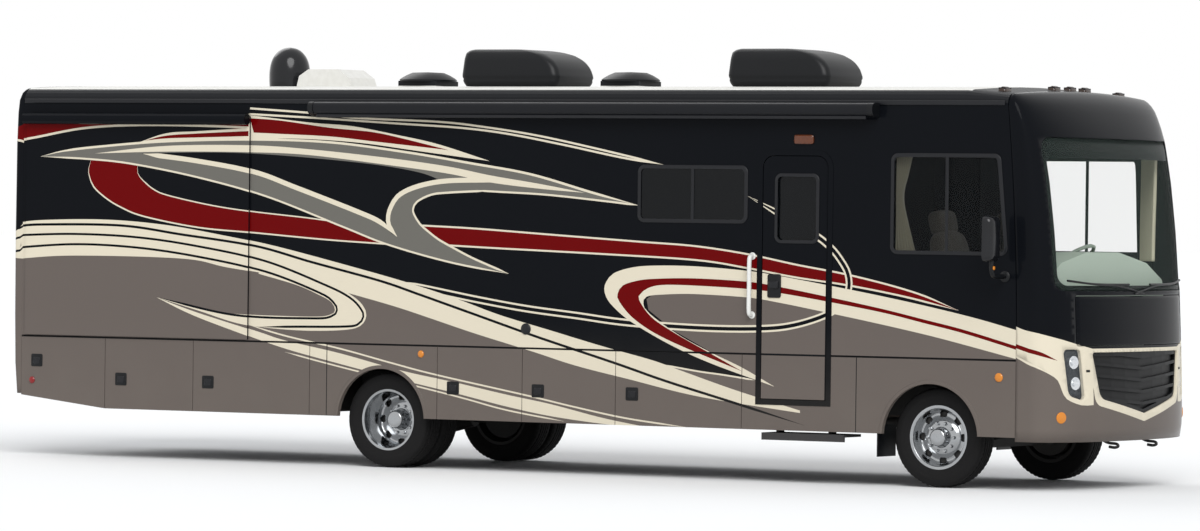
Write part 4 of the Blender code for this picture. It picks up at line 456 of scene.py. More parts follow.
redTwoOut = [(4.85, 1.14), (4.27, 1.29), (3.89, 1.37), (3.50, 1.45), (2.99, 1.54), (2.56, 1.61),
             (2.25, 1.65), (1.74, 1.67), (1.35, 1.66), (1.18, 1.64), (1.05, 1.60), (1.00, 1.53),
             (1.02, 1.46), (1.18, 1.31), (1.50, 1.15), (2.20, 0.91)]
redTwoIn = [(4.85, 1.11), (4.27, 1.26), (3.89, 1.34), (3.50, 1.42), (2.99, 1.50), (2.56, 1.56),
            (2.25, 1.59), (1.74, 1.61), (1.43, 1.61), (1.29, 1.58), (1.22, 1.53), (1.21, 1.48),
            (1.33, 1.34), (1.56, 1.21), (1.90, 1.05), (2.20, 0.91)]
ellipse = [(-1.36, 1.60), (-0.96, 1.55), (-0.40, 1.46), (0.10, 1.39), (0.60, 1.34), (1.10, 1.29),
           (1.80, 1.26), (2.36, 1.265), (2.68, 1.30), (2.98, 1.39), (3.13, 1.49), (3.19, 1.61),
           (3.18, 1.73), (3.12, 1.83), (3.02, 1.94), (2.86, 2.05), (2.56, 2.20), (2.23, 2.36)]
pinHigh = [(-2.71, 3.07), (-2.06, 3.03), (-1.62, 2.99), (-0.79, 2.96), (-0.35, 2.92), (0.18, 2.85),
           (0.73, 2.75), (1.43, 2.61)]
pinLow = [(-2.71, 3.02), (-2.06, 2.99), (-1.22, 2.945), (-0.57, 2.91), (-0.09, 2.86), (0.46, 2.77),
          (1.01, 2.67), (1.43, 2.61)]
sliverTop = [(-2.71, 3.01), (-2.10, 2.95), (-1.66, 2.92), (-1.22, 2.85), (-0.79, 2.77), (-0.27, 2.63)]
sliverLow = [(-2.71, 2.80), (-2.23, 2.81), (-1.61, 2.78), (-0.98, 2.71), (-0.27, 2.63)]
redHighTop = [(-5.20, 2.93), (-4.55, 2.98), (-3.79, 3.01), (-2.71, 2.985), (-2.39, 2.965), (-1.88, 2.905),
              (-1.45, 2.87), (-1.11, 2.81), (-0.68, 2.72)]
redHighLow = [(-5.20, 2.78), (-4.96, 2.82), (-4.46, 2.90), (-3.90, 2.93), (-3.11, 2.925), (-2.67, 2.86),
              (-2.39, 2.85), (-1.88, 2.83), (-1.44, 2.79), (-1.11, 2.76), (-0.68, 2.72)]
taupeRearTop = [(-5.30, 1.88), (-4.20, 1.93), (-3.55, 1.89), (-2.91, 1.80), (-2.20, 1.66), (-1.49, 1.50),
                (-0.40, 1.25), (0.35, 1.10), (1.35, 0.88), (2.15, 0.70), (2.75, 0.59), (2.95, 0.55)]
taupeFrontTop = [(1.28, 1.49), (1.43, 1.57), (1.74, 1.58), (2.25, 1.56), (2.93, 1.47), (3.50, 1.37),
                 (4.27, 1.21), (4.85, 1.08)]


def under(topLine, floorZ=0.30):
    # everything below a line
    line = smoothCurve(topLine)
    return np.vstack([line, [(line[-1, 0], floorZ), (line[0, 0], floorZ)]])


def sidePaint():
    # painter's order: later shapes cover earlier ones
    front = under(taupeFrontTop)
    front[-1] = (2.95, 0.30)
    front = np.vstack([front, [(2.95, 0.58), (2.45, 0.82), (1.95, 1.04), (1.55, 1.23), (1.30, 1.40)]])
    return [
        ("taupe", under(taupeRearTop)), ("taupe", front),
        ("taupe", band([(1.50, 0.93), (1.78, 0.90), (2.03, 0.875), (2.32, 0.84), (2.6, 0.80)],
                       [(1.50, 0.92), (1.66, 0.88), (2.15, 0.74), (2.6, 0.64)])),
        ("taupe", np.array([(2.55, 0.30), (3.05, 0.30), (3.05, 0.86), (2.55, 0.86)])),
        ("cream", stroke([(1.45, 0.945), (1.78, 0.90), (2.03, 0.875), (2.32, 0.84)], 0.014)),
        ("red", band(redHighTop, redHighLow)),
        ("cream", stroke([(-5.20, 2.775), (-4.96, 2.81), (-4.46, 2.89), (-3.90, 2.92), (-3.11, 2.915),
                          (-2.15, 2.88)], 0.02, False, True)),
        ("cream", band([(-3.86, 2.77), (-3.57, 2.85), (-3.24, 2.87), (-2.67, 2.90)],
                       [(-3.86, 2.77), (-3.57, 2.79), (-3.24, 2.795), (-2.67, 2.80)])),
        ("red", band([(-3.80, 2.785), (-3.57, 2.83), (-3.24, 2.85), (-2.67, 2.875)],
                     [(-3.80, 2.785), (-3.57, 2.805), (-3.24, 2.815), (-2.67, 2.83)])),
        ("cream", band(sliverTop, sliverLow)), ("red", band(redHighTop[3:], redHighLow[5:])),
        ("cream", stroke(pinHigh, 0.017, False)), ("cream", stroke(pinLow, 0.017, False)),
        ("cream", stroke(redMidTop, 0.030, False)), ("cream", stroke(redMidLow, 0.030, False)),
        ("red", band(redMidTop, redMidLow)),
        ("cream", stroke(redRearOut, 0.026)), ("cream", stroke(redRearIn, 0.022)),
        ("red", band(redRearOut, redRearIn)),
        ("grey", band(topEdge, topLow)), ("grey", band(bladeTop, bladeLow)),
            ("grey", band(hookOut, hookIn)),
        ("cream", stroke(topEdge, 0.020)),
        ("cream", band([(-4.33, 2.67), (-3.57, 2.74), (-2.70, 2.75), (-2.10, 2.72), (-1.29, 2.65),
                        (-0.68, 2.58),
                        (-0.27, 2.51), (0.23, 2.44), (0.67, 2.37)],
                       [(-4.33, 2.67), (-3.57, 2.69), (-2.70, 2.69), (-2.10, 2.67), (-1.29, 2.59),
                        (-0.68, 2.52),
                        (-0.27, 2.45), (0.23, 2.40), (0.67, 2.37)])),
        ("cream", stroke(topLow[7:], 0.016)), ("cream", stroke(bladeLow, 0.016)),
        ("cream", stroke(bladeTop[2:9], 0.042)), ("cream", stroke(hookOut[1:], 0.042, True, False)),
        ("cream", stroke(hookIn, 0.018)),
        ("cream", stroke(ellipse, 0.062)), ("black", stroke(ellipse, 0.030)),
        ("cream", band(lowTop, lowLow)), ("cream", stroke(lowPin, 0.014)),
            ("cream", stroke(lowPinTwo, 0.013)),
        ("cream", band(loopOut, loopIn)), ("cream", band(mainTop, mainLow)),
        ("black", stroke(lineOne, 0.022, False)), ("black", stroke(lineTwo, 0.020, False)),
        ("black", stroke(lineThree, 0.020, False)),
        ("cream", band(hookTwoOut, hookTwoIn)), ("red", band(redTwoOut, redTwoIn)),
    ]


def meshPiece(name, points, faces, materials, indices=None, smooth=False):
    # one object at the origin from arrays of points and triangles or quads
    mesh = bpy.data.meshes.new(name)
    mesh.from_pydata(np.asarray(points, float).tolist(), [], [list(map(int, f)) for f in faces])
    for material in materials:
        mesh.materials.append(material)
    if indices is not None:
        mesh.polygons.foreach_set("material_index", np.asarray(indices, np.int32))
    if smooth:
        mesh.polygons.foreach_set("use_smooth", np.ones(len(mesh.polygons), bool))
    mesh.update()
    piece = bpy.data.objects.new(name, mesh)
    bpy.context.scene.collection.objects.link(piece)
    return piece


paintOrder = ["black", "taupe", "cream", "red", "grey"]


def cutPlane(outlines, shapes, extra=None):
    # triangles of a plane cut along every outline; returns corners, triangles and their paint
    loops = [np.asarray(o, float) for o in outlines] + [s for _, s in shapes]
    points, edges, start = [], [], 0
    for loop in loops:
        count = len(loop)
        ids = np.arange(count)
        edges += np.stack([start + ids, start + (ids + 1) % count], 1).tolist()
        points.append(loop)
        start += count
    if extra is not None:
        points.append(extra)
    flat = [Vector(p) for p in np.vstack(points)]
    found = delaunay_2d_cdt(flat, edges, [], 0, 1e-5)
    corners = np.array([tuple(v) for v in found[0]])
    triangles = np.array(found[2])
    centres = corners[triangles].mean(1)
    paint = np.zeros(len(triangles), int)
    for colour, shape in shapes:
        paint[inside(shape, centres)] = paintOrder.index(colour)
    return corners, triangles, centres, paint


def slab(name, corners, triangles, paint, place, depth, smooth=False, turned=False, materials=None):
    # the painted face, a plain face behind it at depth, and walls along its free edges
    used, triangles = np.unique(triangles, return_inverse=True)
    triangles = triangles.reshape(-1, 3)
    if turned:
        triangles = triangles[:, ::-1]
    flat = corners[used]
    front, back = place(flat, 0.0), place(flat, depth)
    edges = np.vstack([triangles[:, [0, 1]], triangles[:, [1, 2]], triangles[:, [2, 0]]])
    key = edges.min(1) * len(flat) + edges.max(1)
    unique, first, counts = np.unique(key, return_index=True, return_counts=True)
    rim = edges[first[counts == 1]]
    owner = paint[first[counts == 1] % len(triangles)]
    count = len(flat)
    walls = np.stack([rim[:, 1], rim[:, 0], rim[:, 0] + count, rim[:, 1] + count], 1)
    faces = triangles.tolist() + (triangles[:, ::-1] + count).tolist() + walls.tolist()
    indices = np.concatenate([paint, np.zeros(len(triangles), int), owner])
    piece = meshPiece(name, np.vstack([front, back]), faces,
                      materials or [paints[colour] for colour in paintOrder], indices)
    if smooth:
        piece.data.polygons.foreach_set("use_smooth", np.arange(len(faces)) < 2 * len(triangles))
    return piece


# Painted skins over the flat side panels

sidePlane = {"skin": 0.0012, "air": 0.0002, "flange": 0.0203}
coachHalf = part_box("luggage_door_right_1")[0][1] * -1


def boxOf(node):
    low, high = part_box(node)
    return low[0], high[0], low[2], high[2]


def archCut(station, outline):
    # a panel outline with a round wheel arch rising from its lower edge
    angle = np.linspace(math.pi, 0, 49)
    arc = np.stack([station + arch["radius"] * np.cos(angle),
                    arch["height"] + arch["radius"] * np.sin(angle)], 1)
    low = outline[0][1]
    arc = arc[arc[:, 1] > low]
    reach = math.sqrt(arch["radius"] ** 2 - (low - arch["height"]) ** 2)
    ends = np.array([(station - reach, low), (station + reach, low)])
    return np.vstack([outline[:1], ends[:1], arc, ends[1:], outline[1:]])


arch = {"radius": 0.44, "height": 0.41, "front": 3.95, "rear": -1.333, "lip": 0.028}
tail = {"start": -4.207, "low": 0.433, "rise": 0.101, "end": -5.11}   # the skirt rises towards the rear


def skirtLow(x):
    return tail["low"] + tail["rise"] * max(tail["start"] - x, 0) / (tail["start"] - tail["end"])


def panelOutline(node):
    # a lower door or skirt: its foot follows the skirt line
    left, right, _, high = boxOf(node)
    points = [(left, skirtLow(left))]
    if left < tail["start"] < right:
        points.append((tail["start"], tail["low"]))
    return np.array(points + [(right, skirtLow(right)), (right, high), (left, high)])


frontSeam = {"x": 4.725, "lean": 0.10, "low": 1.058, "high": 3.13}


def seamX(z):
    # the slanting seam between side wall and front cap
    share = np.clip((np.asarray(z) - frontSeam["low"]) / (frontSeam["high"] - frontSeam["low"]), 0, 1)
    return frontSeam["x"] - frontSeam["lean"] * share ** 2


def wallOutline():
    left, _, low, high = boxOf("side_wall_left")
    heights = np.linspace(low, high, 24)
    return np.vstack([[(left, low)], np.stack([seamX(heights) - 0.0008, heights], 1), [(left, high)]])


cabGlass = [(3.585, 1.913, 0.05), (4.63, 1.913, 0.05), (4.553, 2.705, 0.05), (3.585, 2.705, 0.05)]
doorHole = [(2.375, 0.685, 0), (2.989, 0.685, 0), (2.989, 2.695, 0.10), (2.375, 2.695, 0.10)]
doorRing = [(2.330, 0.640, 0), (3.034, 0.640, 0), (3.034, 2.740, 0.145), (2.330, 2.740, 0.145)]
doorLeaf = [(2.381, 0.691, 0), (2.983, 0.691, 0), (2.983, 2.689, 0.096), (2.381, 2.689, 0.096)]
# window openings as left, right, low and high
galleyWindow = (1.20, 2.22, 2.145, 2.595)
doorWindow = (2.505, 2.894, 1.985, 2.535)
slideWindow = (0.25, 1.65, 1.95, 2.62)
windowCorner = 0.05
# dark lines along the belt rail and at two fixed panel joints in the skirts
stripes = sidePaint() + [("black", np.array([(a, c), (b, c), (b, d), (a, d)])) for a, b, c, d in (
    (-5.12, 4.74, 1.047, 1.063), (3.266, 3.274, 0.42, 1.05), (-1.891, -1.883, 0.42, 1.05))]


def paintSide(side):
    # one cut for the wall, doors and skirts, then one skin per panel
    label = "right" if side < 0 else "left"
    slide = rectangle(*boxOf("slide_room_" + label))
    mid = (slide.min(0) + slide.max(0)) / 2
    hole = mid + (slide - mid) * (1 - 0.188 / (slide.max(0) - slide.min(0)))
    glass = roundedOutline(cabGlass)
    panels = {"side_wall_" + label: (wallOutline(), [glass, hole])}
    numbers = range(1, 7) if side < 0 else range(1, 3)
    for number in numbers:
        node = "luggage_door_%s_%d" % (label, number)
        panels[node] = (panelOutline(node), [])
    for place, station in (("rear", arch["rear"]), ("front", arch["front"])):
        node = "skirt_%s_%s" % (place, label)
        panels[node] = (archCut(station, panelOutline(node)), [])
    if side < 0:
        ring = roundedOutline(doorRing)
        panels["side_wall_right"][1].extend([rectangle(*galleyWindow, windowCorner), ring])
        panels["skirt_front_right"][1].append(ring)
        # the skin stops 8 mm short of the hinge line, so that it clears the frame when the door is open
        skinLeaf = [(min(x, 2.975), z, r) for x, z, r in doorLeaf]
        panels["entry_door"] = (roundedOutline(skinLeaf), [rectangle(*doorWindow, windowCorner)])
    loops = [outline for outline, holes in panels.values()]
    loops += [h for outline, holes in panels.values() for h in holes]
    if side < 0:
        loops += [roundedOutline(doorRing), roundedOutline(doorHole)]
    corners, triangles, centres, paint = cutPlane(loops, stripes)

    def place(flat, depth):
        y = np.full(len(flat), side * (coachHalf + sidePlane["skin"] - depth))
        return np.stack([flat[:, 0], y, flat[:, 1]], 1)

    def put(node, body, mask, at=place):
        piece = slab("paint_" + node, corners, triangles[mask], paint[mask], at,
                     sidePlane["skin"] - sidePlane["air"], turned=side > 0)
        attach(piece, body)

    for node, (outline, holes) in panels.items():
        mask = inside(outline, centres)
        for h in holes:
            mask &= ~inside(h, centres)
        put(node, node if node in frame["bodies"] else "coach", mask)
    if side < 0:
        mask = inside(roundedOutline(doorRing), centres) & ~inside(roundedOutline(doorHole), centres)
        paint[:] = 0
        put("door_frame", "coach", mask, lambda flat, depth: place(flat, depth - 0.004))
    openings = [rectangle(*slideWindow, windowCorner)] if side > 0 else []
    corners, triangles, centres, paint = cutPlane([slide] + openings, stripes)
    mask = inside(slide, centres)
    for opening in openings:
        mask &= ~inside(opening, centres)
    put("slide_" + label, "slide_" + label, mask,
        lambda flat, depth: place(flat, depth - sidePlane["flange"]))


paintSide(-1)
paintSide(1)
print("side panels painted")


# The moulded caps: level curves that run straight from the seam, then round a superellipse to the nose

capShape = {"depth": 0.537, "rearDepth": 0.152, "rearX": -5.11, "straight": 0.22, "edge": 0.10,
            "crown": 0.045,
            "crownRun": 0.30, "skin": 0.03}
capSpan = {True: (0.40, 3.205), False: (0.545, 3.24)}   # foot and top of the front (True) and rear cap
capRoundness = {True: 2.2, False: 4.0}
# (share of the height, share of the depth)
frontProfile = np.array([(0.0, 0.950), (0.036, 0.991), (0.078, 1.0), (0.2346, 0.968), (0.3565, 0.931),
                         (0.4349, 0.907), (0.606, 0.810), (0.7487, 0.689), (0.838, 0.577), (0.8806, 0.512),
                         (0.916, 0.419), (0.945, 0.317), (0.9643, 0.233), (0.980, 0.130), (0.992, 0.019),
                         (0.998, -0.065), (1.0, -0.158)])
rearProfile = np.array([(0.0, 0.60), (0.10, 0.86), (0.26, 0.96), (0.52, 1.0), (0.82, 0.95), (0.92, 0.84),
                        (0.962, 0.68), (0.985, 0.48), (0.995, 0.30), (0.999, 0.14), (1.0, 0.0)])


def halfWidth(z, top):
    above = np.clip(z - (top - capShape["edge"]), 0, capShape["edge"])
    return coachHalf - capShape["edge"] + np.sqrt(capShape["edge"] ** 2 - above ** 2)


def capPoint(s, z, front):
    # s runs 0 at the nose to 1 where the corner ends and 1.22 at the seam; z is the height
    bottom, top = capSpan[front]
    share, power, straight = (z - bottom) / (top - bottom), 2 / capRoundness[front], capShape["straight"]
    if front:
        seam, tip = seamX(z), frontSeam["x"] + capShape["depth"] * np.interp(share, *frontProfile.T)
    else:
        seam = np.full_like(z, capShape["rearX"])
        tip = seam - capShape["rearDepth"] * np.interp(share, *rearProfile.T)
    half = halfWidth(z, top)
    angle = np.clip(np.abs(s), 0, 1) * math.pi / 2
    across = np.sin(angle) ** power
    reach = straight + (1 - straight) * np.clip(np.cos(angle), 0, 1) ** power
    reach = np.where(np.abs(s) > 1, 1 + straight - np.abs(s), reach)
    near = np.clip((z - (top - capShape["crownRun"])) / capShape["crownRun"], 0, 1)
    lift = capShape["crown"] * near * (1 - (half * across / coachHalf) ** 2)
    return np.stack([seam + (tip - seam) * reach, np.sign(s) * half * across, z + lift], -1)


def capPlace(front, shift=0.0):
    # a point moved inward along the surface's own normal, found from two small steps
    def place(flat, depth):
        s, z = flat[:, 0], flat[:, 1]
        top = capSpan[front][1]
        base = capPoint(s, z, front)
        ds = capPoint(s + 0.004, z, front) - capPoint(s - 0.004, z, front)
        low, high = np.clip(z - 0.006, 0.401, top - 0.001), np.clip(z + 0.006, 0.402, top)
        dz = capPoint(s, high, front) - capPoint(s, low, front)
        normal = np.cross(ds, dz)
        normal /= np.linalg.norm(normal, axis=1)[:, None] + 1e-12
        middle = np.array((0.0, 0.0, 1.6))
        away = np.einsum("ij,ij->i", normal, base - middle) < 0
        normal[away] *= -1
        return base - normal * (depth + shift)
    return place


def toCap(outline, roundness=2.2):
    # an outline in (across, up) carried to the cap's own (s, up), with its long sides cut finer
    loop = []
    for a, b in zip(outline, np.roll(outline, -1, 0)):
        steps = max(int(np.linalg.norm(b - a) / 0.04), 1)
        loop.append(a + (b - a) * np.linspace(0, 1, steps, endpoint=False)[:, None])
    loop = np.vstack(loop)
    share = np.clip(np.abs(loop[:, 0]) / coachHalf, 0, 1) ** (roundness / 2)
    return np.stack([np.sign(loop[:, 0]) * np.arcsin(share) / (math.pi / 2), loop[:, 1]], 1)


def capGrid(front):
    # a fine grid of extra corners so that the curved cap stays smooth
    profile = frontProfile if front else rearProfile
    bottom, top = capSpan[front]
    levels = bottom + (top - bottom) * profile[:, 0]
    fine = np.unique(np.concatenate([np.linspace(a, b, max(int((b - a) / 0.05), 2)) for a, b in
                                     zip(levels, levels[1:])]))
    s = np.concatenate([np.linspace(-1.22, -1, 5), np.linspace(-0.97, 0.97, 66), np.linspace(1, 1.22, 5)])
    grid = np.stack(np.meshgrid(s, fine), -1).reshape(-1, 2)
    border = np.vstack([np.stack([s, np.full_like(s, fine[0])], 1),
                        np.stack([np.full(len(fine) - 1, 1.22), fine[1:]], 1),
                        np.stack([s[::-1][1:], np.full(len(s) - 1, fine[-1])], 1),
                        np.stack([np.full(len(fine) - 2, -1.22), fine[::-1][1:-1]], 1)])
    return grid, border


def frontPaint():
    # stripes in (s, up) on the right half, mirrored for the left; s is -1.22 at the right seam
    creamTop = [(-1.30, 1.335), (-1.22, 1.33), (-1.12, 1.31), (-0.90, 1.28), (-0.68, 1.235), (-0.52, 1.19),
                (-0.40, 1.155)]
    creamLow = [(-1.30, 1.10), (-1.22, 1.08), (-0.92, 1.0), (-0.78, 0.95), (-0.70, 0.90), (-0.665, 0.82),
                (-0.62, 0.75), (-0.50, 0.70), (-0.40, 0.70)]
    redTop = [(-1.30, 1.21), (-1.22, 1.19), (-1.0, 1.155), (-0.84, 1.12), (-0.70, 1.06)]
    redLow = [(-1.30, 1.175), (-1.22, 1.155), (-1.0, 1.12), (-0.84, 1.09), (-0.70, 1.06)]
    taupe = np.array([(-1.30, 0.3), (1.30, 0.3), (1.30, 1.12), (1.22, 1.10), (0.92, 1.02), (0.68, 0.90),
                      (0.40, 0.80),
                      (-0.40, 0.80), (-0.68, 0.90), (-0.92, 1.02), (-1.22, 1.10), (-1.30, 1.12)])
    nose = toCap(roundedOutline([(0, 0.555, 0.1), (0.76, 0.70, 0.1), (0.86, 1.155, 0.04),
                                 (-0.86, 1.155, 0.04),
                                 (-0.76, 0.70, 0.1)]))
    mirrored = [np.array((way, 1)) for way in (1, -1)]
    return [("taupe", taupe)] + [("cream", band(creamTop, creamLow) * way) for way in mirrored] + [
        ("cream", nose)] + [("red", band(redTop, redLow) * way) for way in mirrored]


capHoles = {
    "windshield": rectangle(-1.17, 1.17, 1.62, 2.86, 0.10),
    "hood": rectangle(-0.98, 0.98, 1.175, 1.585, 0.03),
    "grille": roundedOutline([(0, 0.62, 0.1), (0.70, 0.75, 0.1), (0.80, 1.125, 0.025),
                              (-0.80, 1.125, 0.025),
                              (-0.70, 0.75, 0.1)]),
    "lampRight": roundedOutline([(-0.94, 1.15, 0.035), (-1.11, 1.15, 0.035), (-1.065, 0.775, 0.07),
                                 (-0.895, 0.73, 0.035)]),
}
capHoles["lampLeft"] = capHoles["lampRight"][::-1] * np.array((-1, 1))


def shrink(outline, by):
    # the loop pulled in towards its middle by about that much on every side
    middle = (outline.min(0) + outline.max(0)) / 2
    return middle + (outline - middle) * (1 - 2 * by / (outline.max(0) - outline.min(0)))


def makeFront():
    holes = {name: toCap(loop) for name, loop in capHoles.items()}
    hoodEdge = toCap(shrink(capHoles["hood"], 0.006))
    grid, border = capGrid(True)
    loops = [border] + list(holes.values()) + [hoodEdge]
    corners, triangles, centres, paint = cutPlane(loops, frontPaint(), grid)
    keep = inside(border, centres)
    capMask = keep.copy()
    for loop in holes.values():
        capMask &= ~inside(loop, centres)
    cap = slab("frontCapShell", corners, triangles[capMask], paint[capMask], capPlace(True),
               capShape["skin"], smooth=True)
    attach(cap, "coach")
    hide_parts("front_cap")
    hoodMask = keep & inside(hoodEdge, centres)
    hood = slab("hoodShell", corners, triangles[hoodMask], paint[hoodMask], capPlace(True), 0.024,
                smooth=True)
    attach(hood, "hood")
    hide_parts("hood")
    corners, triangles, centres, paint = cutPlane([holes["windshield"]], [], grid)
    glassMask = inside(holes["windshield"], centres)
    glass = slab("windshieldPane", corners, triangles[glassMask], paint[glassMask] * 0,
                 capPlace(True, 0.005),
                 0.008, smooth=True, materials=[windshieldGlass])
    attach(glass, "coach")
    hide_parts("windshield")
    # black ceramic band along the glass edge, inside the pane
    inner = toCap(roundedOutline([(-1.13, 1.665, 0.09), (1.13, 1.665, 0.09), (1.13, 2.70, 0.05),
                                  (-1.13, 2.70, 0.05)]))
    corners, triangles, centres, paint = cutPlane([holes["windshield"], inner], [], grid)
    mask = inside(holes["windshield"], centres) & ~inside(inner, centres)
    edge = slab("windshieldBand", corners, triangles[mask], paint[mask] * 0, capPlace(True, 0.0135), 0.002,
                smooth=True, materials=[speckMaterial("firedCeramicBand", "#060708", "#0A0B0C", 0.002,
                                                      {"Roughness": 0.4, "IOR": 1.12}, 0.0001)])
    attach(edge, "coach")


def rearPaint():
    # the side's bands run on round the rear corner and fade into the middle
    mirrored = []
    tipTaupe = np.array([(-1.3, 0.3), (1.3, 0.3), (1.3, 1.86), (1.22, 1.86), (0.9, 1.80), (0, 1.74),
                         (-0.9, 1.80),
                         (-1.22, 1.86), (-1.3, 1.86)])
    mirrored.append(("taupe", tipTaupe))
    for way in (1, -1):
        turn = np.array((way, 1))
        mirrored.append(("cream", band([(-1.3, 2.05), (-1.22, 2.045), (-0.9, 1.99), (-0.55, 1.90),
                                        (-0.3, 1.83)],
                                       [(-1.3, 1.73), (-1.22, 1.735), (-0.9, 1.74), (-0.55, 1.76),
                                        (-0.3, 1.80)]) * turn))
        for high in (2.02, 1.94, 1.83):
            line = [(-1.3, high), (-1.22, high), (-0.9, high - 0.03), (-0.5, 1.83 + (high - 1.83) * 0.3)]
            mirrored.append(("black", stroke(line, 0.020, False) * turn))
        mirrored.append(("red", band([(-1.3, 2.93), (-1.22, 2.93), (-0.9, 2.90), (-0.5, 2.84)],
                                     [(-1.3, 2.77), (-1.22, 2.775), (-0.9, 2.79), (-0.5, 2.83)]) * turn))
        mirrored.append(("cream", stroke([(-1.3, 2.765), (-1.22, 2.77), (-0.9, 2.785), (-0.5, 2.825)],
                                         0.02, False) * turn))
    return mirrored


tailLamp = rectangle(1.00, 1.13, 0.86, 1.24, 0.04)


def makeRear():
    grid, border = capGrid(False)
    corners, triangles, centres, paint = cutPlane([border], rearPaint(), grid)
    mask = inside(border, centres)
    cap = slab("rearCapShell", corners, triangles[mask], paint[mask], capPlace(False), capShape["skin"],
               smooth=True, turned=True)
    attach(cap, "coach")
    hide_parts("rear_cap")
    for side, label in ((-1, "Right"), (1, "Left")):
        loop = toCap(tailLamp * np.array((side, 1)), 4.0)
        corners, triangles, centres, paint = cutPlane([loop], [], grid)
        mask = inside(loop, centres)
        lamp = slab("tailLamp" + label, corners, triangles[mask], paint[mask] * 0, capPlace(False, -0.010),
                    0.0105, smooth=True, turned=True, materials=[redLens])
        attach(lamp, "coach")


windshieldGlass = glassMaterial("laminatedWindshieldGlass", "#8FA69C", 0.035)
smokedLens = speckMaterial("smokedAmberLens", "#2B1A10", "#3A2416", 0.006, {"Roughness": 0.12, "IOR": 1.5},
                           0.0005, 0.4)
redLens = speckMaterial("ribbedRedLens", "#7A0A0C", "#8E1214", 0.006, {"Roughness": 0.12, "IOR": 1.5},
                        0.0005, 0.4)
amberLens = speckMaterial("ribbedAmberLens", "#C8741A", "#D98A2C", 0.006, {"Roughness": 0.12, "IOR": 1.5},
                          0.0005, 0.4)
makeFront()
makeRear()
print("caps moulded")


# Solid pieces from stacked loops

def solidData(rings, cyclic=False):
    # n loops of m points; neighbours are joined by quads, and the ends are closed or joined to each other
    rings = np.asarray(rings, float)
    n, m = rings.shape[:2]
    ids = np.arange(n * m).reshape(n, m)
    first, second = (ids, np.roll(ids, -1, 0)) if cyclic else (ids[:-1], ids[1:])
    quads = np.stack([first, np.roll(first, -1, 1), np.roll(second, -1, 1), second], -1).reshape(-1, 4)
    faces = quads.tolist()
    if not cyclic:
        faces += [ids[0][::-1].tolist(), ids[-1].tolist()]
    points = rings.reshape(-1, 3)
    local = points - points.mean(0)
    volume = 0.0
    for face in ([quads] if cyclic else [quads, ids[:1, ::-1], ids[-1:]]):
        for k in range(1, face.shape[1] - 1):
            volume += np.einsum("ij,ij->i", local[face[:, 0]],
                                np.cross(local[face[:, k]], local[face[:, k + 1]])).sum()
    if volume < 0:
        faces = [face[::-1] for face in faces]
    return points, faces


def makePiece(name, parts, body, replaces=(), sharp=40):
    # parts are (points, faces, material); all become one mesh at the origin
    points, faces, indices, materials, start = [], [], [], [], 0
    for partPoints, partFaces, material in parts:
        if material not in materials:
            materials.append(material)
        points.append(partPoints)
        faces += [[i + start for i in face] for face in partFaces]
        indices += [materials.index(material)] * len(partFaces)
        start += len(partPoints)
    piece = meshPiece(name, np.vstack(points), faces, materials, indices, smooth=True)
    piece.data.set_sharp_from_angle(angle=math.radians(sharp))
    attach(piece, body)
    if replaces:
        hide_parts(*replaces)
    return piece


def pipeData(path, radius, sides=12):
    # a circle carried along a path, its frame turned as little as possible from point to point
    path = np.asarray(path, float)
    way = np.gradient(path, axis=0)
    way /= np.linalg.norm(way, axis=1)[:, None]
    side = np.cross(way[0], (0.31, 0.17, 0.93))
    rings = []
    angle = np.linspace(0, 2 * math.pi, sides, endpoint=False)
    for point, ahead in zip(path, way):
        side = side - ahead * (side @ ahead)
        side /= np.linalg.norm(side)
        other = np.cross(ahead, side)
        rings.append(point + radius * (np.cos(angle)[:, None] * side + np.sin(angle)[:, None] * other))
    return solidData(rings)


def curve3(points, steps=6):
    # Catmull-Rom through points in space
    p = np.array(points, float)
    q = np.vstack([2 * p[0] - p[1], p, 2 * p[-1] - p[-2]])
    t = np.linspace(0, 1, steps, endpoint=False)[:, None]
    runs = [b + 0.5 * ((c - a) * t + (2 * a - 5 * b + 4 * c - d) * t ** 2 + (3 * b - a - 3 * c + d) * t ** 3)
            for a, b, c, d in zip(q, q[1:], q[2:], q[3:])]
    return np.vstack(runs + [p[-1:]])


def atY(outline, y):
    return np.stack([outline[:, 0], np.full(len(outline), y), outline[:, 1]], 1)


def padData(outline, side, inner, outer, bevel=0.003):
    # a flat plate on the coach's side, bevelled round its face; inner and outer are distances in y
    return solidData([atY(outline, side * inner), atY(outline, side * (outer - bevel)),
                      atY(shrink(outline, bevel), side * outer)])


def frameData(outer, inner, side, low, high, bevel=0.003):
    # a closed frame between two outlines with the same number of points
    rings = [atY(outer, side * low), atY(outer, side * (high - bevel)),
             atY(shrink(outer, bevel), side * high),
             atY(inner, side * high), atY(inner, side * low)]
    return solidData(rings, cyclic=True)


def turnData(profile, centre, axis, steps=48):
    # (radius, distance along the axis) carried round the axis
    profile, centre, axis = np.asarray(profile, float), np.asarray(centre, float), np.asarray(axis, float)
    side = np.cross(axis, (0.0, 0.0, 1.0) if abs(axis[2]) < 0.9 else (1.0, 0.0, 0.0))
    side /= np.linalg.norm(side)
    other = np.cross(axis, side)
    angle = np.linspace(0, 2 * math.pi, steps, endpoint=False)[:, None]
    circle = np.cos(angle) * side + np.sin(angle) * other
    radii = np.maximum(profile[:, 0], 0.0004)
    return solidData([centre + axis * reach + circle * radius for radius,
                      reach in zip(radii, profile[:, 1])])


# Wheels: polished covers over steel rims, and tyres with a ribbed road tread

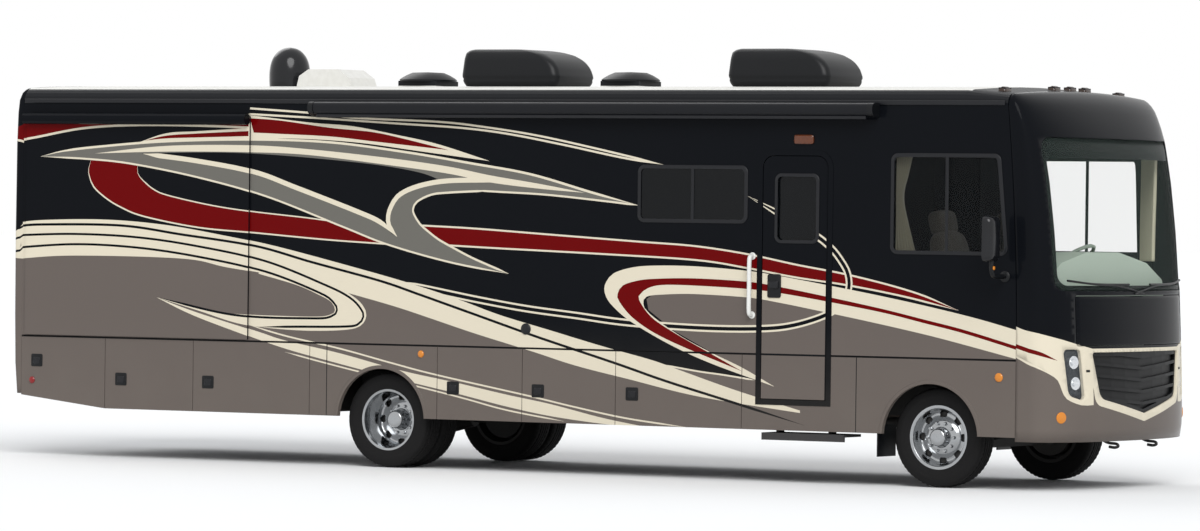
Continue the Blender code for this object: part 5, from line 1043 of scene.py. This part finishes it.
wheel = {"half": 0.1225, "handHoles": 8, "handRadius": 0.188, "handSize": (0.021, 0.030),
         "recess": 0.05, "nuts": 10, "nutCircle": 0.118, "steps": 144}
frontFace = [(0.0, 0.140), (0.045, 0.139), (0.066, 0.132), (0.074, 0.112), (0.082, 0.064), (0.10, 0.058),
             (0.13, 0.052), (0.155, 0.036), (0.175, 0.022), (0.20, 0.020), (0.218, 0.042), (0.226, 0.068),
             (0.233, 0.098), (0.240, 0.107)]
rearFace = [(0.0, 0.149), (0.05, 0.148), (0.072, 0.140), (0.080, 0.110), (0.090, 0.036), (0.11, 0.031),
            (0.14, 0.029), (0.17, 0.023), (0.20, 0.022), (0.216, 0.036), (0.226, 0.055), (0.234, 0.12),
            (0.238, 0.20), (0.243, 0.240)]


def rimRings(face, backing, centre, side):
    # the face's profile made fine, its hand holes pressed in, then the plain seat and back
    fine = smoothCurve(face, 0.005)
    angle = np.linspace(0, 2 * math.pi, wheel["steps"], endpoint=False)
    radius, reach = fine[:, :1] + 0 * angle, fine[:, 1:] + 0 * angle
    pitch = 2 * math.pi / wheel["handHoles"]
    turn = (angle + pitch / 2) % pitch - pitch / 2
    away = ((radius - wheel["handRadius"]) / wheel["handSize"][0]) ** 2 + (
        turn * radius / wheel["handSize"][1]) ** 2
    hole = (away < 1) & (fine[:, :1] > 0.1)
    reach = reach - wheel["recess"] * np.clip((1.15 - away) / 0.3, 0, 1)
    backing = np.array(backing)
    radius = np.vstack([radius, backing[:, :1] + 0 * angle])
    reach = np.vstack([reach, backing[:, 1:] + 0 * angle])
    radius = np.maximum(radius, 0.0004)
    rings = np.stack([centre[0] + radius * np.cos(angle), centre[1] + side * reach,
                      centre[2] + radius * np.sin(angle)], -1)
    return rings, hole


def nutParts(centre, side, reach):
    parts = []
    for k in range(wheel["nuts"]):
        angle = 2 * math.pi * k / wheel["nuts"]
        base = np.array(centre) + (wheel["nutCircle"] * math.cos(angle), side * reach,
                                   wheel["nutCircle"] * math.sin(angle))
        points, faces = turnData([(0.015, -0.012), (0.015, 0.012), (0.012, 0.020), (0.0, 0.022)], base,
                                 (0, side, 0), 6)
        parts.append((points, faces, finishes["chrome"]))
    return parts


def makeRim(name, node, body, face, backing, centre, side, nutReach):
    rings, hole = rimRings(face, backing, centre, side)
    points, faces = solidData(rings)
    n, m = hole.shape
    dark = np.zeros(len(faces), int)
    dark[:(n - 1) * m] = (hole[:-1] & hole[1:]).reshape(-1)
    # the barrel and the inward side are painted steel, so only the cover is bright
    dark[(n + 1) * m:] = 1
    piece = makePiece(name, [(points, faces, finishes["chrome"])] + nutParts(centre, side, nutReach), body,
                      (node,))
    piece.data.materials.append(finishes["frame_black"])
    indices = np.zeros(len(piece.data.polygons), np.int32)
    indices[:len(dark)] = dark
    piece.data.polygons.foreach_set("material_index", indices)
    return piece


tyreShape = {"radius": 0.4058, "groove": 0.009, "grooveAt": (-0.052, -0.018, 0.018, 0.052),
             "grooveHalf": 0.0055,
             "notch": 0.006, "steps": 180, "notchEvery": 3}
sidewall = [(0.2505, 0.092), (0.262, 0.104), (0.285, 0.1125), (0.31, 0.118), (0.335, 0.1222),
            (0.36, 0.1205),
            (0.385, 0.1145), (0.3985, 0.102), (0.4040, 0.09)]


def makeTyre(node, body, centre, side):
    # sidewall curve, then the tread with four grooves and notched shoulders, then the other sidewall
    wall = smoothCurve(sidewall, 0.005)
    wall[:, 1] = np.minimum(wall[:, 1], wheel["half"])
    ridge = np.isin(np.arange(len(wall)), (6, 11, 18))
    wall[ridge, 1] = np.minimum(wall[ridge, 1] + 0.0012, wheel["half"])
    across = np.linspace(0.084, -0.084, 57)
    cut = (np.abs(across[:, None] - np.array(tyreShape["grooveAt"])) < tyreShape["grooveHalf"]).any(1)
    tread = np.stack([tyreShape["radius"] - 0.0012 * (across / 0.084) ** 4 - tyreShape["groove"] * cut,
                      across], 1)
    profile = np.vstack([wall, tread, (wall * (1, -1))[::-1]])
    angle = np.linspace(0, 2 * math.pi, tyreShape["steps"], endpoint=False)
    notch = (np.arange(tyreShape["steps"]) % tyreShape["notchEvery"] == 0)[None]
    shoulder = ((np.abs(profile[:, 1]) > 0.060) & (profile[:, 0] > 0.398))[:, None]
    radius = profile[:, :1] - tyreShape["notch"] * (notch & shoulder)
    y = centre[1] + side * profile[:, 1:] + 0 * angle
    rings = np.stack([centre[0] + radius * np.cos(angle), y, centre[2] + radius * np.sin(angle)], -1)
    points, faces = solidData(rings, cyclic=True)
    return makePiece(node + "_tread", [(points, faces, finishes["rubber"])], body, (node,), 50)


def seatAndFlanges(offset):
    return [(0.262, offset + 0.1078), (0.2497, offset + 0.0919), (0.2497, offset - 0.0919),
            (0.262, offset - 0.1078)]


for side, label in ((-1, "right"), (1, "left")):
    centre = (3.95, side * 1.015, 0.41)
    body = "wheel_front_" + label
    makeTyre("tyre_front_" + label, body, centre, side)
    backing = seatAndFlanges(0) + [(0.235, -0.1078), (0.2225, -0.050), (0.2225, 0.0), (0.0, 0.0)]
    makeRim("wheelCoverFront" + label.title(), "rim_front_" + label, body, frontFace, backing, centre,
            side, 0.060)
    body = "wheel_rear_" + label
    makeTyre("tyre_rear_outer_" + label, body, (-1.333, side * 1.058, 0.41), side)
    makeTyre("tyre_rear_inner_" + label, body, (-1.333, side * 0.785, 0.41), side)
    backing = seatAndFlanges(0.1365) + [(0.2375, 0.0287), (0.2375, -0.0287)] + seatAndFlanges(-0.1365) + [
        (0.2375, -0.2443), (0.225, -0.015), (0.0, -0.015)]
    makeRim("wheelCoverRear" + label.title(), "rim_rear_" + label, body, rearFace, backing,
            (-1.333, side * 0.9215, 0.41), side, 0.032)
print("wheels turned")


# Windows, doors and small fittings on the sides

whitePlastic = speckMaterial("mouldedWhitePlastic", "#E6E6E2", "#DADAD6", 0.01, {"Roughness": 0.35}, 0.0002)
brightMetal = speckMaterial("silverLampReflector", "#E8EAEC", "#DADCDE", 0.01,
                            {"Roughness": 0.12, "Metallic": 1.0},
                            0.0002, 0.1)
mirrorGlass = speckMaterial("silveredMirrorGlass", "#B9C0C6", "#C3C9CE", 0.2,
                            {"Roughness": 0.03, "Metallic": 1.0},
                            0.0001, 0.02)
outer = coachHalf
plastic = finishes["black_plastic"]
rail = speckMaterial("anodisedDarkRail", "#131417", "#1A1B1F", 0.01, {"Roughness": 0.35, "IOR": 1.35},
                     0.0002)


def windowTrim(name, side, corners, by, body, bars=(), level=0.0):
    # a black frame that laps the glass and the wall, with upright bars at the given places
    grown = roundedOutline([(x + math.copysign(by, x - sum(c[0] for c in corners) / 4),
                             z + math.copysign(by, z - sum(c[1] for c in corners) / 4), r + by)
                            for x, z, r in corners])
    within = roundedOutline([(x - math.copysign(by, x - sum(c[0] for c in corners) / 4),
                              z - math.copysign(by, z - sum(c[1] for c in corners) / 4), max(r - by, 0.01))
                             for x, z, r in corners])
    parts = [frameData(grown, within, side, outer + level + 0.0015, outer + level + 0.009) + (rail,)]
    low, high = min(c[1] for c in corners), max(c[1] for c in corners)
    for x in bars:
        parts.append(padData(rectangle(x - 0.014, x + 0.014, low, high), side, outer + level + 0.0015,
                             outer + level + 0.007) + (rail,))
    makePiece(name, parts, body)


def windowRing(left, right, low, high):
    # the four corners of a window, each with its radius
    return [(x, z, windowCorner) for x, z in ((left, low), (right, low), (right, high), (left, high))]


windowTrim("galleyWindowFrame", -1, windowRing(*galleyWindow), 0.016, "coach", (1.709,))
windowTrim("cabWindowFrameRight", -1, cabGlass, 0.016, "coach", (4.083,))
windowTrim("cabWindowFrameLeft", 1, cabGlass, 0.016, "coach", (4.083,))
windowTrim("doorWindowFrame", -1, windowRing(*doorWindow), 0.014, "entry_door")
windowTrim("slideWindowFrame", 1, windowRing(*slideWindow), 0.016, "slide_left", (0.95,),
           sidePlane["flange"])

latchSpots = {-1: ((1, -4.94, 0.841), (2, -4.035, 0.695), (3, -3.116, 0.691), (4, -0.608, 0.702),
                   (5, 0.234, 0.698), (6, 1.151, 0.696)),
              1: ((1, -4.94, 0.82), (2, 0.86, 0.70))}
for side, spots in latchSpots.items():
    for number, x, z in spots:
        body = "luggage_door_%s_%d" % ("right" if side < 0 else "left", number)
        plate = rectangle(x - 0.06, x + 0.06, z - 0.055, z + 0.055, 0.012)
        grip = rectangle(x - 0.035, x + 0.035, z - 0.032, z + 0.026, 0.010)
        parts = [padData(plate, side, outer + 0.0008, outer + 0.007) + (plastic,),
                 padData(grip, side, outer + 0.006, outer + 0.013, 0.004) + (rail,)]
        makePiece("latch_" + body, parts, body)

doorLatch = rectangle(2.433, 2.558, 1.522, 1.717, 0.018)
doorGrip = rectangle(2.45, 2.54, 1.60, 1.66, 0.01)
makePiece("entryDoorHandle", [padData(doorLatch, -1, outer + 0.0008, outer + 0.012, 0.004) + (plastic,),
                              padData(doorGrip, -1, outer + 0.010, outer + 0.030, 0.005) + (rail,)],
          "entry_door")
grab = curve3([(2.287, y, z) for y, z in (
    (-1.262, 1.377), (-1.31, 1.377), (-1.3375, 1.417), (-1.3375, 1.62), (-1.3375, 1.823), (-1.31, 1.863),
    (-1.262, 1.863))])
makePiece("grabHandle", [pipeData(grab + (0, -0.0005, 0), 0.0185, 16) + (whitePlastic,)] + [
    turnData([(0.0, 0.001), (0.030, 0.001), (0.030, 0.006), (0.020, 0.010), (0.0, 0.010)],
             (2.287, -outer, z), (0, -1, 0)) + (whitePlastic,) for z in (1.377, 1.863)], "coach")
porchLens = speckMaterial("smokedPorchLens", "#4A2210", "#6B3616", 0.02, {"Roughness": 0.12, "IOR": 1.5},
                          0.0005, 0.4)
porchRing = rectangle(2.67, 2.85, 2.79, 2.865, 0.02)
makePiece("porchLamp", [padData(porchRing, -1, outer + 0.0012, outer + 0.022, 0.008) + (porchLens,)],
          "coach")
rearMarkerDoors = {"markerRearRight": "luggage_door_right_1", "markerRearLeft": "luggage_door_left_1"}
for name, side, x, z, radius, material in (
        ("markerMidRight", -1, -0.933, 0.983, 0.030, amberLens),
        ("markerFrontRight", -1, 4.575, 0.916, 0.036, amberLens),
        ("markerMidLeft", 1, -0.933, 0.983, 0.030, amberLens),
        ("markerFrontLeft", 1, 4.575, 0.916, 0.036, amberLens),
        ("fillerCapRight", -1, 0.109, 1.217, 0.048, rail),
        ("markerRearRight", -1, -4.99, 0.665, 0.030, redLens),
        ("markerRearLeft", 1, -4.99, 0.665, 0.030, redLens)):
    profile = [(0.0, 0.0008), (radius, 0.0008), (radius, 0.006), (radius * 0.8, 0.013),
               (radius * 0.4, 0.016), (0, 0.017)]
    makePiece(name, [turnData(profile, (x, side * outer, z), (0, side, 0), 32) + (material,)],
              rearMarkerDoors.get(name, "coach"))


def archLip(name, side, station):
    # a moulded ring round the wheel opening, from skirt foot to skirt foot
    start = math.asin((0.433 - arch["height"]) / arch["radius"])
    angle = np.linspace(start, math.pi - start, 60)
    rings = []
    for radius, proud in ((arch["radius"] - 0.002, 0.0006), (arch["radius"] - 0.002, 0.005),
                          (arch["radius"] + 0.006, 0.007), (arch["radius"] + arch["lip"] - 0.004, 0.005),
                          (arch["radius"] + arch["lip"], 0.0006)):
        rings.append(np.stack([station + radius * np.cos(angle),
                               np.full(60, side * (outer + proud + 0.0008)),
                               arch["height"] + radius * np.sin(angle)], 1))
    points, faces = solidData(np.stack(rings, 1))
    makePiece(name, [(points, faces, paints["taupe"])], "coach")


for side, label in ((-1, "Right"), (1, "Left")):
    archLip("archLipFront" + label, side, arch["front"])
    archLip("archLipRear" + label, side, arch["rear"])
    flap = np.array([(3.44, 0.24), (3.452, 0.24), (3.452, 0.50), (3.44, 0.50)])
    rubber = solidData([atY(flap, side * 0.92), atY(flap, side * 1.23)]) + (plastic,)
    makePiece("mudFlapFront" + label, [rubber], "coach")
print("side fittings placed")


# The front end: lamps, wipers and marker lamps

def capSpot(front, across, z, shift=0.0):
    # a point on a cap, or shift metres inside it
    share = min(abs(across) / coachHalf, 1) ** (capRoundness[front] / 2)
    s = np.sign(across) * math.asin(share) / (math.pi / 2)
    return capPlace(front, shift)(np.array([[s, z]]), 0.0)[0]


def capFacing(front, across, z, shift=0.0):
    # the same point with the direction that faces outward there
    centre = capSpot(front, across, z, shift)
    ahead = centre - capSpot(front, across, z, shift + 0.02)
    return centre, ahead / np.linalg.norm(ahead)


clearLens = glassMaterial("clearMouldedLens", "#C9D2D8", 0.05)
for side, label in ((-1, "Right"), (1, "Left")):
    loop = toCap(shrink(capHoles["lamp" + label], 0.001))
    grid, border = capGrid(True)
    corners, triangles, centres, paint = cutPlane([loop], [], grid)
    mask = inside(loop, centres)
    lens = slab("headlampLens" + label, corners, triangles[mask], paint[mask] * 0,
                capPlace(True, 0.004), 0.003, smooth=True, materials=[clearLens])
    bowl = slab("headlampHousing" + label, corners, triangles[mask], paint[mask] * 0,
                capPlace(True, 0.034), 0.006, smooth=True, materials=[plastic])
    lamps = []
    for across, z, radius in ((1.00, 1.045, 0.052), (0.985, 0.875, 0.052)):
        centre, ahead = capFacing(True, side * across, z, 0.033)
        reflector = [(0, 0.0), (radius, 0.0), (radius, 0.022), (radius * 0.88, 0.022),
                     (radius * 0.55, 0.010), (0, 0.006)]
        bulb = [(0, 0.005), (radius * 0.42, 0.007), (radius * 0.38, 0.018), (0, 0.024)]
        lamps.append(turnData(reflector, centre, ahead) + (brightMetal,))
        lamps.append(turnData(bulb, centre, ahead, 24) + (brightMetal,))
    makePiece("headlampBowls" + label, lamps, "coach")
    for piece in (lens, bowl):
        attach(piece, "coach")
    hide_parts("headlamp_" + label.lower())
    centre, ahead = capFacing(True, side * 1.13, 0.60)
    profile = [(0, -0.004), (0.046, -0.004), (0.046, 0.003), (0.036, 0.008), (0, 0.011)]
    makePiece("fogLamp" + label, [turnData(profile, centre, ahead, 32) + (amberLens,)],
              "coach")
    run = [capSpot(True, side * across, 0.975, 0.004) for across in (0.835, 0.855, 0.875)]
    makePiece("noseSlot" + label, [pipeData(curve3(run), 0.011, 10) + (plastic,)], "coach")

wiperRuns = {"wiperRight": ((0.06, 1.595), (-0.35, 1.655), (-0.72, 1.672), (-1.05, 1.70)),
             "wiperLeft": ((-0.12, 1.595), (0.30, 1.66), (0.68, 1.672), (1.02, 1.70))}
for name, run in wiperRuns.items():
    path = curve3([capSpot(True, y, z, -0.010) for y, z in run])
    bladeRun = ((run[1][0] * 0.6, 1.672), (run[2][0], 1.676), (run[3][0], 1.704))
    blade = curve3([capSpot(True, y, z, -0.004) for y, z in bladeRun])
    makePiece(name, [pipeData(path - (0.004, 0, 0), 0.007, 8) + (plastic,),
                     pipeData(blade, 0.009, 8) + (plastic,)],
              "coach")
for name, across in (("towHookRight", -0.36), ("towHookLeft", 0.36)):
    path = curve3([(5.02, across, 0.43), (5.10, across, 0.385), (5.185, across, 0.375),
                   (5.20, across, 0.355), (5.17, across, 0.345), (5.12, across, 0.35)])
    makePiece(name, [pipeData(path, 0.012, 10) + (finishes["frame_black"],)], "coach")
seamFront = 4.625 - 0.0008
for number, share in enumerate((-0.82, -0.22, 0.0, 0.22, 0.82)):
    across = coachHalf * share
    nose = seamFront - 0.05 - 0.10 * share ** 2
    drop = 0.035 * np.clip((nose - 4.225) / 0.40, 0, 1)
    base = 3.24 + 0.045 * (1 - share ** 2) - drop
    rings = []
    for grow, z in ((0.006, -0.006), (0.006, 0.012), (-0.004, 0.030), (-0.016, 0.038)):
        loop = rectangle(nose - 0.06 - grow, nose + grow, across - 0.055 - grow, across + 0.055 + grow,
                         0.02)
        rings.append(np.column_stack([loop, np.full(len(loop), base + z)]))
    makePiece("clearanceLamp%d" % (number + 1), [solidData(rings) + (smokedLens,)], "coach")

# the tail: five red clearance lamps under the roof line, a high brake lamp and a bare plate panel
tailLamps = ((-1.0, 3.08, 0.022), (-0.16, 3.10, 0.022), (0.001, 3.10, 0.022), (0.16, 3.10, 0.022),
             (1.0, 3.08, 0.022), (0.001, 2.93, 0.034))
for number, (across, z, radius) in enumerate(tailLamps):
    centre, ahead = capFacing(False, across, z)
    profile = [(0, -0.004), (radius, -0.004), (radius, 0.002), (radius * 0.7, 0.006), (0, 0.008)]
    makePiece("tailMarker%d" % (number + 1), [turnData(profile, centre, ahead, 28) + (redLens,)],
              "coach")
face = capSpot(False, 0.001, 1.03)[0]
plate = rectangle(-0.165, 0.165, 0.87, 1.03, 0.015)
plateRings = [np.column_stack([np.full(len(plate), face - d), shrink(plate, by)])
              for d, by in ((-0.012, 0), (0.002, 0), (0.004, 0.003))]
makePiece("rearPlatePanel", [solidData(plateRings) + (whitePlastic,)], "coach")

# a dark trimmed lining inside the driver's wall, with the window cut out of it
liningPad = speckMaterial("vinylWallLining", "#1C1E20", "#26282A", 0.004, {"Roughness": 0.7, "IOR": 1.4},
                          0.0004)
middle = sum(c[0] for c in cabGlass) / 4, sum(c[1] for c in cabGlass) / 4
border = roundedOutline([(4.612 if x > middle[0] else 3.10, 3.10 if z > middle[1] else 1.075, 0.02)
                         for x, z, r in cabGlass])
driverLining = frameData(border, roundedOutline(cabGlass), 1, 1.2235, 1.2322, 0.001) + (liningPad,)
makePiece("cabLiningLeft", [driverLining], "coach")
print("front end fitted")


# Roof equipment: air conditioner shrouds, vents and the satellite dome

shroud = {"length": 0.98, "width": 0.68, "height": 0.32, "base": 3.2853, "corner": 0.07}


def makeShroud(node, station):
    # loops at rising levels: the nose falls away in a long curve and the tail stands nearly upright
    crest = 0.86 + 0.14 * np.sin(np.linspace(0.12, 1, 12) * math.pi / 2)
    t = np.concatenate([np.linspace(0, 0.86, 18), crest])
    rear = np.interp(t, [0, 0.10, 0.28, 0.90, 0.97, 1.0], [0.035, 0.012, 0.0, 0.012, 0.035, 0.075])
    front = np.interp(t, [0, 0.08, 0.27, 0.50, 0.65, 0.78, 0.88, 0.95, 0.99, 1.0],
                      [0.96, 0.985, 1.0, 0.975, 0.938, 0.885, 0.81, 0.72, 0.62, 0.56])
    half = np.interp(t, [0, 0.08, 0.30, 0.75, 0.92, 0.98, 1.0], [0.95, 0.985, 1.0, 0.94, 0.86, 0.80, 0.75])
    smooth = np.array([0.25, 0.5, 0.25])
    rings = []
    for values in (rear, front, half):
        values[1:-1] = np.convolve(values, smooth, "same")[1:-1]
    for z, a, b, w in zip(t, rear, front, half):
        left = station - shroud["length"] / 2
        loop = rectangle(left + a * shroud["length"], left + b * shroud["length"], -w * shroud["width"] / 2,
                         w * shroud["width"] / 2, shroud["corner"])
        seam = 0.004 if 0.20 < z < 0.25 else 0.0
        loop = shrink(loop, seam)
        rings.append(np.column_stack([loop, np.full(len(loop), shroud["base"] + z * shroud["height"])]))
    parts = [solidData(rings) + (plastic,)]
    for k in range(7):
        z = shroud["base"] + 0.08 + 0.025 * k
        x = station - shroud["length"] / 2 + 0.004
        slat = np.array([(x, z), (x + 0.02, z + 0.004), (x + 0.02, z + 0.014), (x + 0.001, z + 0.012)])
        parts.append(solidData([atY(slat, -0.24), atY(slat, 0.24)]) + (rail,))
    makePiece(node + "_shroud", parts, "coach", (node,), 32)


makeShroud("ac_front", 1.966)
makeShroud("ac_rear", -0.68)
glossDome = speckMaterial("glossBlackDomeShell", "#121316", "#17181B", 0.1,
                          {"Roughness": 0.16, "IOR": 1.4}, 0.0002, 0.05)
domeRun = [(0.0, 0.0), (0.178, 0.0), (0.1815, 0.06), (0.180, 0.14), (0.166, 0.216), (0.140, 0.272),
           (0.100, 0.316), (0.055, 0.340), (0.0, 0.3497)]
domeProfile = np.vstack([domeRun[:2], smoothCurve(domeRun[1:], 0.015)])
makePiece("domeShell", [turnData(domeProfile, (-3.15, 0, 3.2853), (0, 0, 1), 64) + (glossDome,)], "coach",
          ("satellite_dome",))
for number, station in enumerate((-1.70, 0.352)):
    top = 3.285 + 0.05
    profile = [(0, -0.004), (0.250, -0.004), (0.252, 0.012), (0.235, 0.026), (0.19, 0.052), (0.14, 0.074),
               (0, 0.080)]
    ventLid = turnData(profile, (station, 0, top), (0, 0, 1), 40) + (plastic,)
    makePiece("roofVentLid%d" % (number + 1), [ventLid], "coach")
for side, label in ((-1, "Right"), (1, "Left")):
    strip = rectangle(-5.10, 4.60, 3.112, 3.150, 0.0)
    makePiece("roofRail" + label, [padData(strip, side, outer + 0.0013, outer + 0.012, 0.004) + (rail,)],
              "coach")

# the awning's closed case: an extruded shell with two capped ends and the roller's lead rail below
caseMetal = speckMaterial("powderBlackAwningCase", "#0B0C10", "#121419", 0.01,
                          {"Roughness": 0.35, "IOR": 1.3}, 0.0002)
casing = smoothCurve([(-1.2835, 3.127), (-1.345, 3.1285), (-1.392, 3.118), (-1.408, 3.085), (-1.402, 3.045),
                      (-1.372, 3.018), (-1.330, 3.010), (-1.2835, 3.014)], 0.012)
capped = casing + np.sign(casing - (-1.34, 3.07)) * (0.006, 0.001)
capped[:, 0] = np.minimum(capped[:, 0], -1.2835)
lead = rectangle(-1.386, -1.352, 2.992, 3.022, 0.008)
parts = [solidData([np.column_stack([np.full(len(loop), x), loop]) for x in ends]) + (material,)
         for loop, ends, material in ((casing, (-1.985, 3.405), caseMetal),
                                      (capped, (-2.035, -1.985), plastic),
                                      (capped, (3.405, 3.455), plastic), (lead, (-1.96, 3.38), rail))]
makePiece("awningCase", parts, "coach", ("awning",), 30)
print("roof equipment moulded")


# Mirrors

for side, label in ((-1, "right"), (1, "left")):
    y = side * (coachHalf + 0.2475)
    rings = []
    for x, grow in ((4.576, -0.010), (4.579, 0.0), (4.600, 0.0), (4.630, -0.004), (4.652, -0.018),
                    (4.6645, -0.045)):
        loop = shrink(rectangle(y - 0.10, y + 0.10, 1.85, 2.22, 0.05), -grow)
        rings.append(np.column_stack([np.full(len(loop), x), loop]))
    parts = [solidData(rings) + (glossDome,)]
    for low, high, material in ((1.985, 2.195, mirrorGlass), (1.875, 1.965, mirrorGlass)):
        loop = rectangle(y - 0.082, y + 0.082, low, high, 0.02)
        faces = [np.column_stack([np.full(len(loop), x), loop]) for x in (4.5752, 4.5772)]
        parts.append(solidData(faces) + (material,))
    arm = curve3([(4.62, y, 1.88), (4.62, y, 1.79), (4.62, y - side * 0.03, 1.742),
                  (4.62, y - side * 0.08, 1.7305), (4.62, side * (coachHalf + 0.06), 1.7305),
                  (4.62, side * (coachHalf + 0.002), 1.7305)])
    parts.append(pipeData(arm, 0.0195, 14) + (plastic,))
    parts.append(turnData([(0, 0.001), (0.045, 0.001), (0.045, 0.010), (0.030, 0.020), (0, 0.020)],
                          (4.62, side * coachHalf, 1.7305), (0, side, 0), 32) + (plastic,))
    parts.append(turnData([(0, 0.0), (0.016, 0.0), (0.014, 0.006), (0, 0.009)],
                          (4.6405, y, 1.80), (1, 0, 0), 20) + (amberLens,))
    makePiece("mirrorHead" + label.title(), parts, "coach", ("mirror_" + label,))
print("mirrors shaped")


# Soft parts in the cab: gathered curtains and upholstered seats

def hungCurtain(name, node, top, low, widths, start, along, fold, cloth, count=6):
    # rows of even cloth length: where the curtain is drawn in, its folds grow deeper
    rows = np.linspace(0, 1, 40)
    u = np.linspace(0, 1, 120)
    width = np.interp(rows, *zip(*widths))
    width = np.convolve(np.pad(width, 3, "edge"), np.ones(7) / 7, "valid")
    grid = []
    for share, w in zip(rows, width):
        depth = math.sqrt(max(cloth ** 2 - w ** 2, 0)) / (4 * count) * 0.95
        place = np.array(start)[None] + u[:, None] * w * np.array(along)[None]
        swing = depth * (1 - np.cos(2 * math.pi * count * u + 0.6 * math.sin(5 * share)))
        place = place + swing[:, None] * np.array(fold)[None]
        grid.append(np.column_stack([place, np.full(len(u), low + (top - low) * share)]))
    grid = np.array(grid)
    n, m = grid.shape[:2]
    ids = np.arange(n * m).reshape(n, m)
    quads = np.stack([ids[:-1, :-1], ids[:-1, 1:], ids[1:, 1:], ids[1:, :-1]], -1).reshape(-1, 4)
    piece = meshPiece(name, grid.reshape(-1, 3), quads, [finishes["curtain_cloth"]], smooth=True)
    wall = piece.modifiers.new("clothThickness", "SOLIDIFY")
    wall.thickness, wall.offset = 0.0012, 0
    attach(piece, "coach")
    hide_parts(node)
    return piece


hungCurtain("curtainCabRight", "curtain_right", 2.78, 1.856,
            [(0, 0.20), (0.45, 0.07), (0.58, 0.05), (0.7, 0.09), (1, 0.16)],
            (3.59, -1.231), (1, 0), (0, 1), 0.46)
hungCurtain("curtainCabLeft", "curtain_left", 2.742, 1.856, [(0, 0.27), (1, 0.30)],
            (4.635, 1.212), (0.76, -0.65), (-0.35, -0.42), 0.80, 8)


def cushionData(half, centre, lean=0.0, square=0.42, crown=0.10):
    # a superellipsoid: a rounded box with crowned faces and two sewn channels, leaned back about y
    phi = np.linspace(-math.pi / 2, math.pi / 2, 31)[:, None]
    theta = np.linspace(0, 2 * math.pi, 72, endpoint=False)[None]

    def power(values):
        return np.sign(values) * np.abs(values) ** square

    ring = np.maximum(power(np.cos(phi)), 0.002)
    x, y, z = ring * power(np.cos(theta)), ring * power(np.sin(theta)), power(np.sin(phi)) + 0 * theta
    puff = 1 + crown * (1 - np.clip(x * x + y * y + z * z - 1, 0, 1))
    channel = 1 - 0.05 * np.exp(-((np.abs(y) - 0.45) / 0.05) ** 2)
    points = np.stack([x * puff * channel * half[0], y * half[1], z * puff * channel * half[2]],
                      -1) / (1 + crown)
    c, s = math.cos(lean), math.sin(lean)
    turn = np.array([[c, 0, s], [0, 1, 0], [-s, 0, c]])
    return solidData(points @ turn.T + np.array(centre))


for side, node in ((-1, "seat_passenger"), (1, "seat_driver")):
    y = side * 0.62
    cloth = finishes["seat_cloth"]
    pads = [cushionData((0.285, 0.262, 0.10), (4.0, y, 1.465), 0.06) + (cloth,),
            cushionData((0.095, 0.255, 0.30), (3.795, y, 1.80), -0.20) + (cloth,),
            cushionData((0.075, 0.17, 0.105), (3.705, y, 2.155), -0.20) + (cloth,)]
    for arm in (-1, 1):
        pads.append(cushionData((0.17, 0.03, 0.03), (3.97, y + arm * 0.228, 1.66)) + (cloth,))
    seat = makePiece(node + "_upholstery", pads, "coach", (node,), 80)
    rings = [np.column_stack([rectangle(3.83 + g, 4.14 - g, y - 0.2 + g, y + 0.2 - g, 0.03),
                              np.full(28, z)])
             for g, z in ((0, 1.0595), (0.0, 1.09), (0.03, 1.12), (0.03, 1.40))]
    makePiece(node + "_pedestal", [solidData(rings) + (plastic,)], "coach")
print("soft parts made")
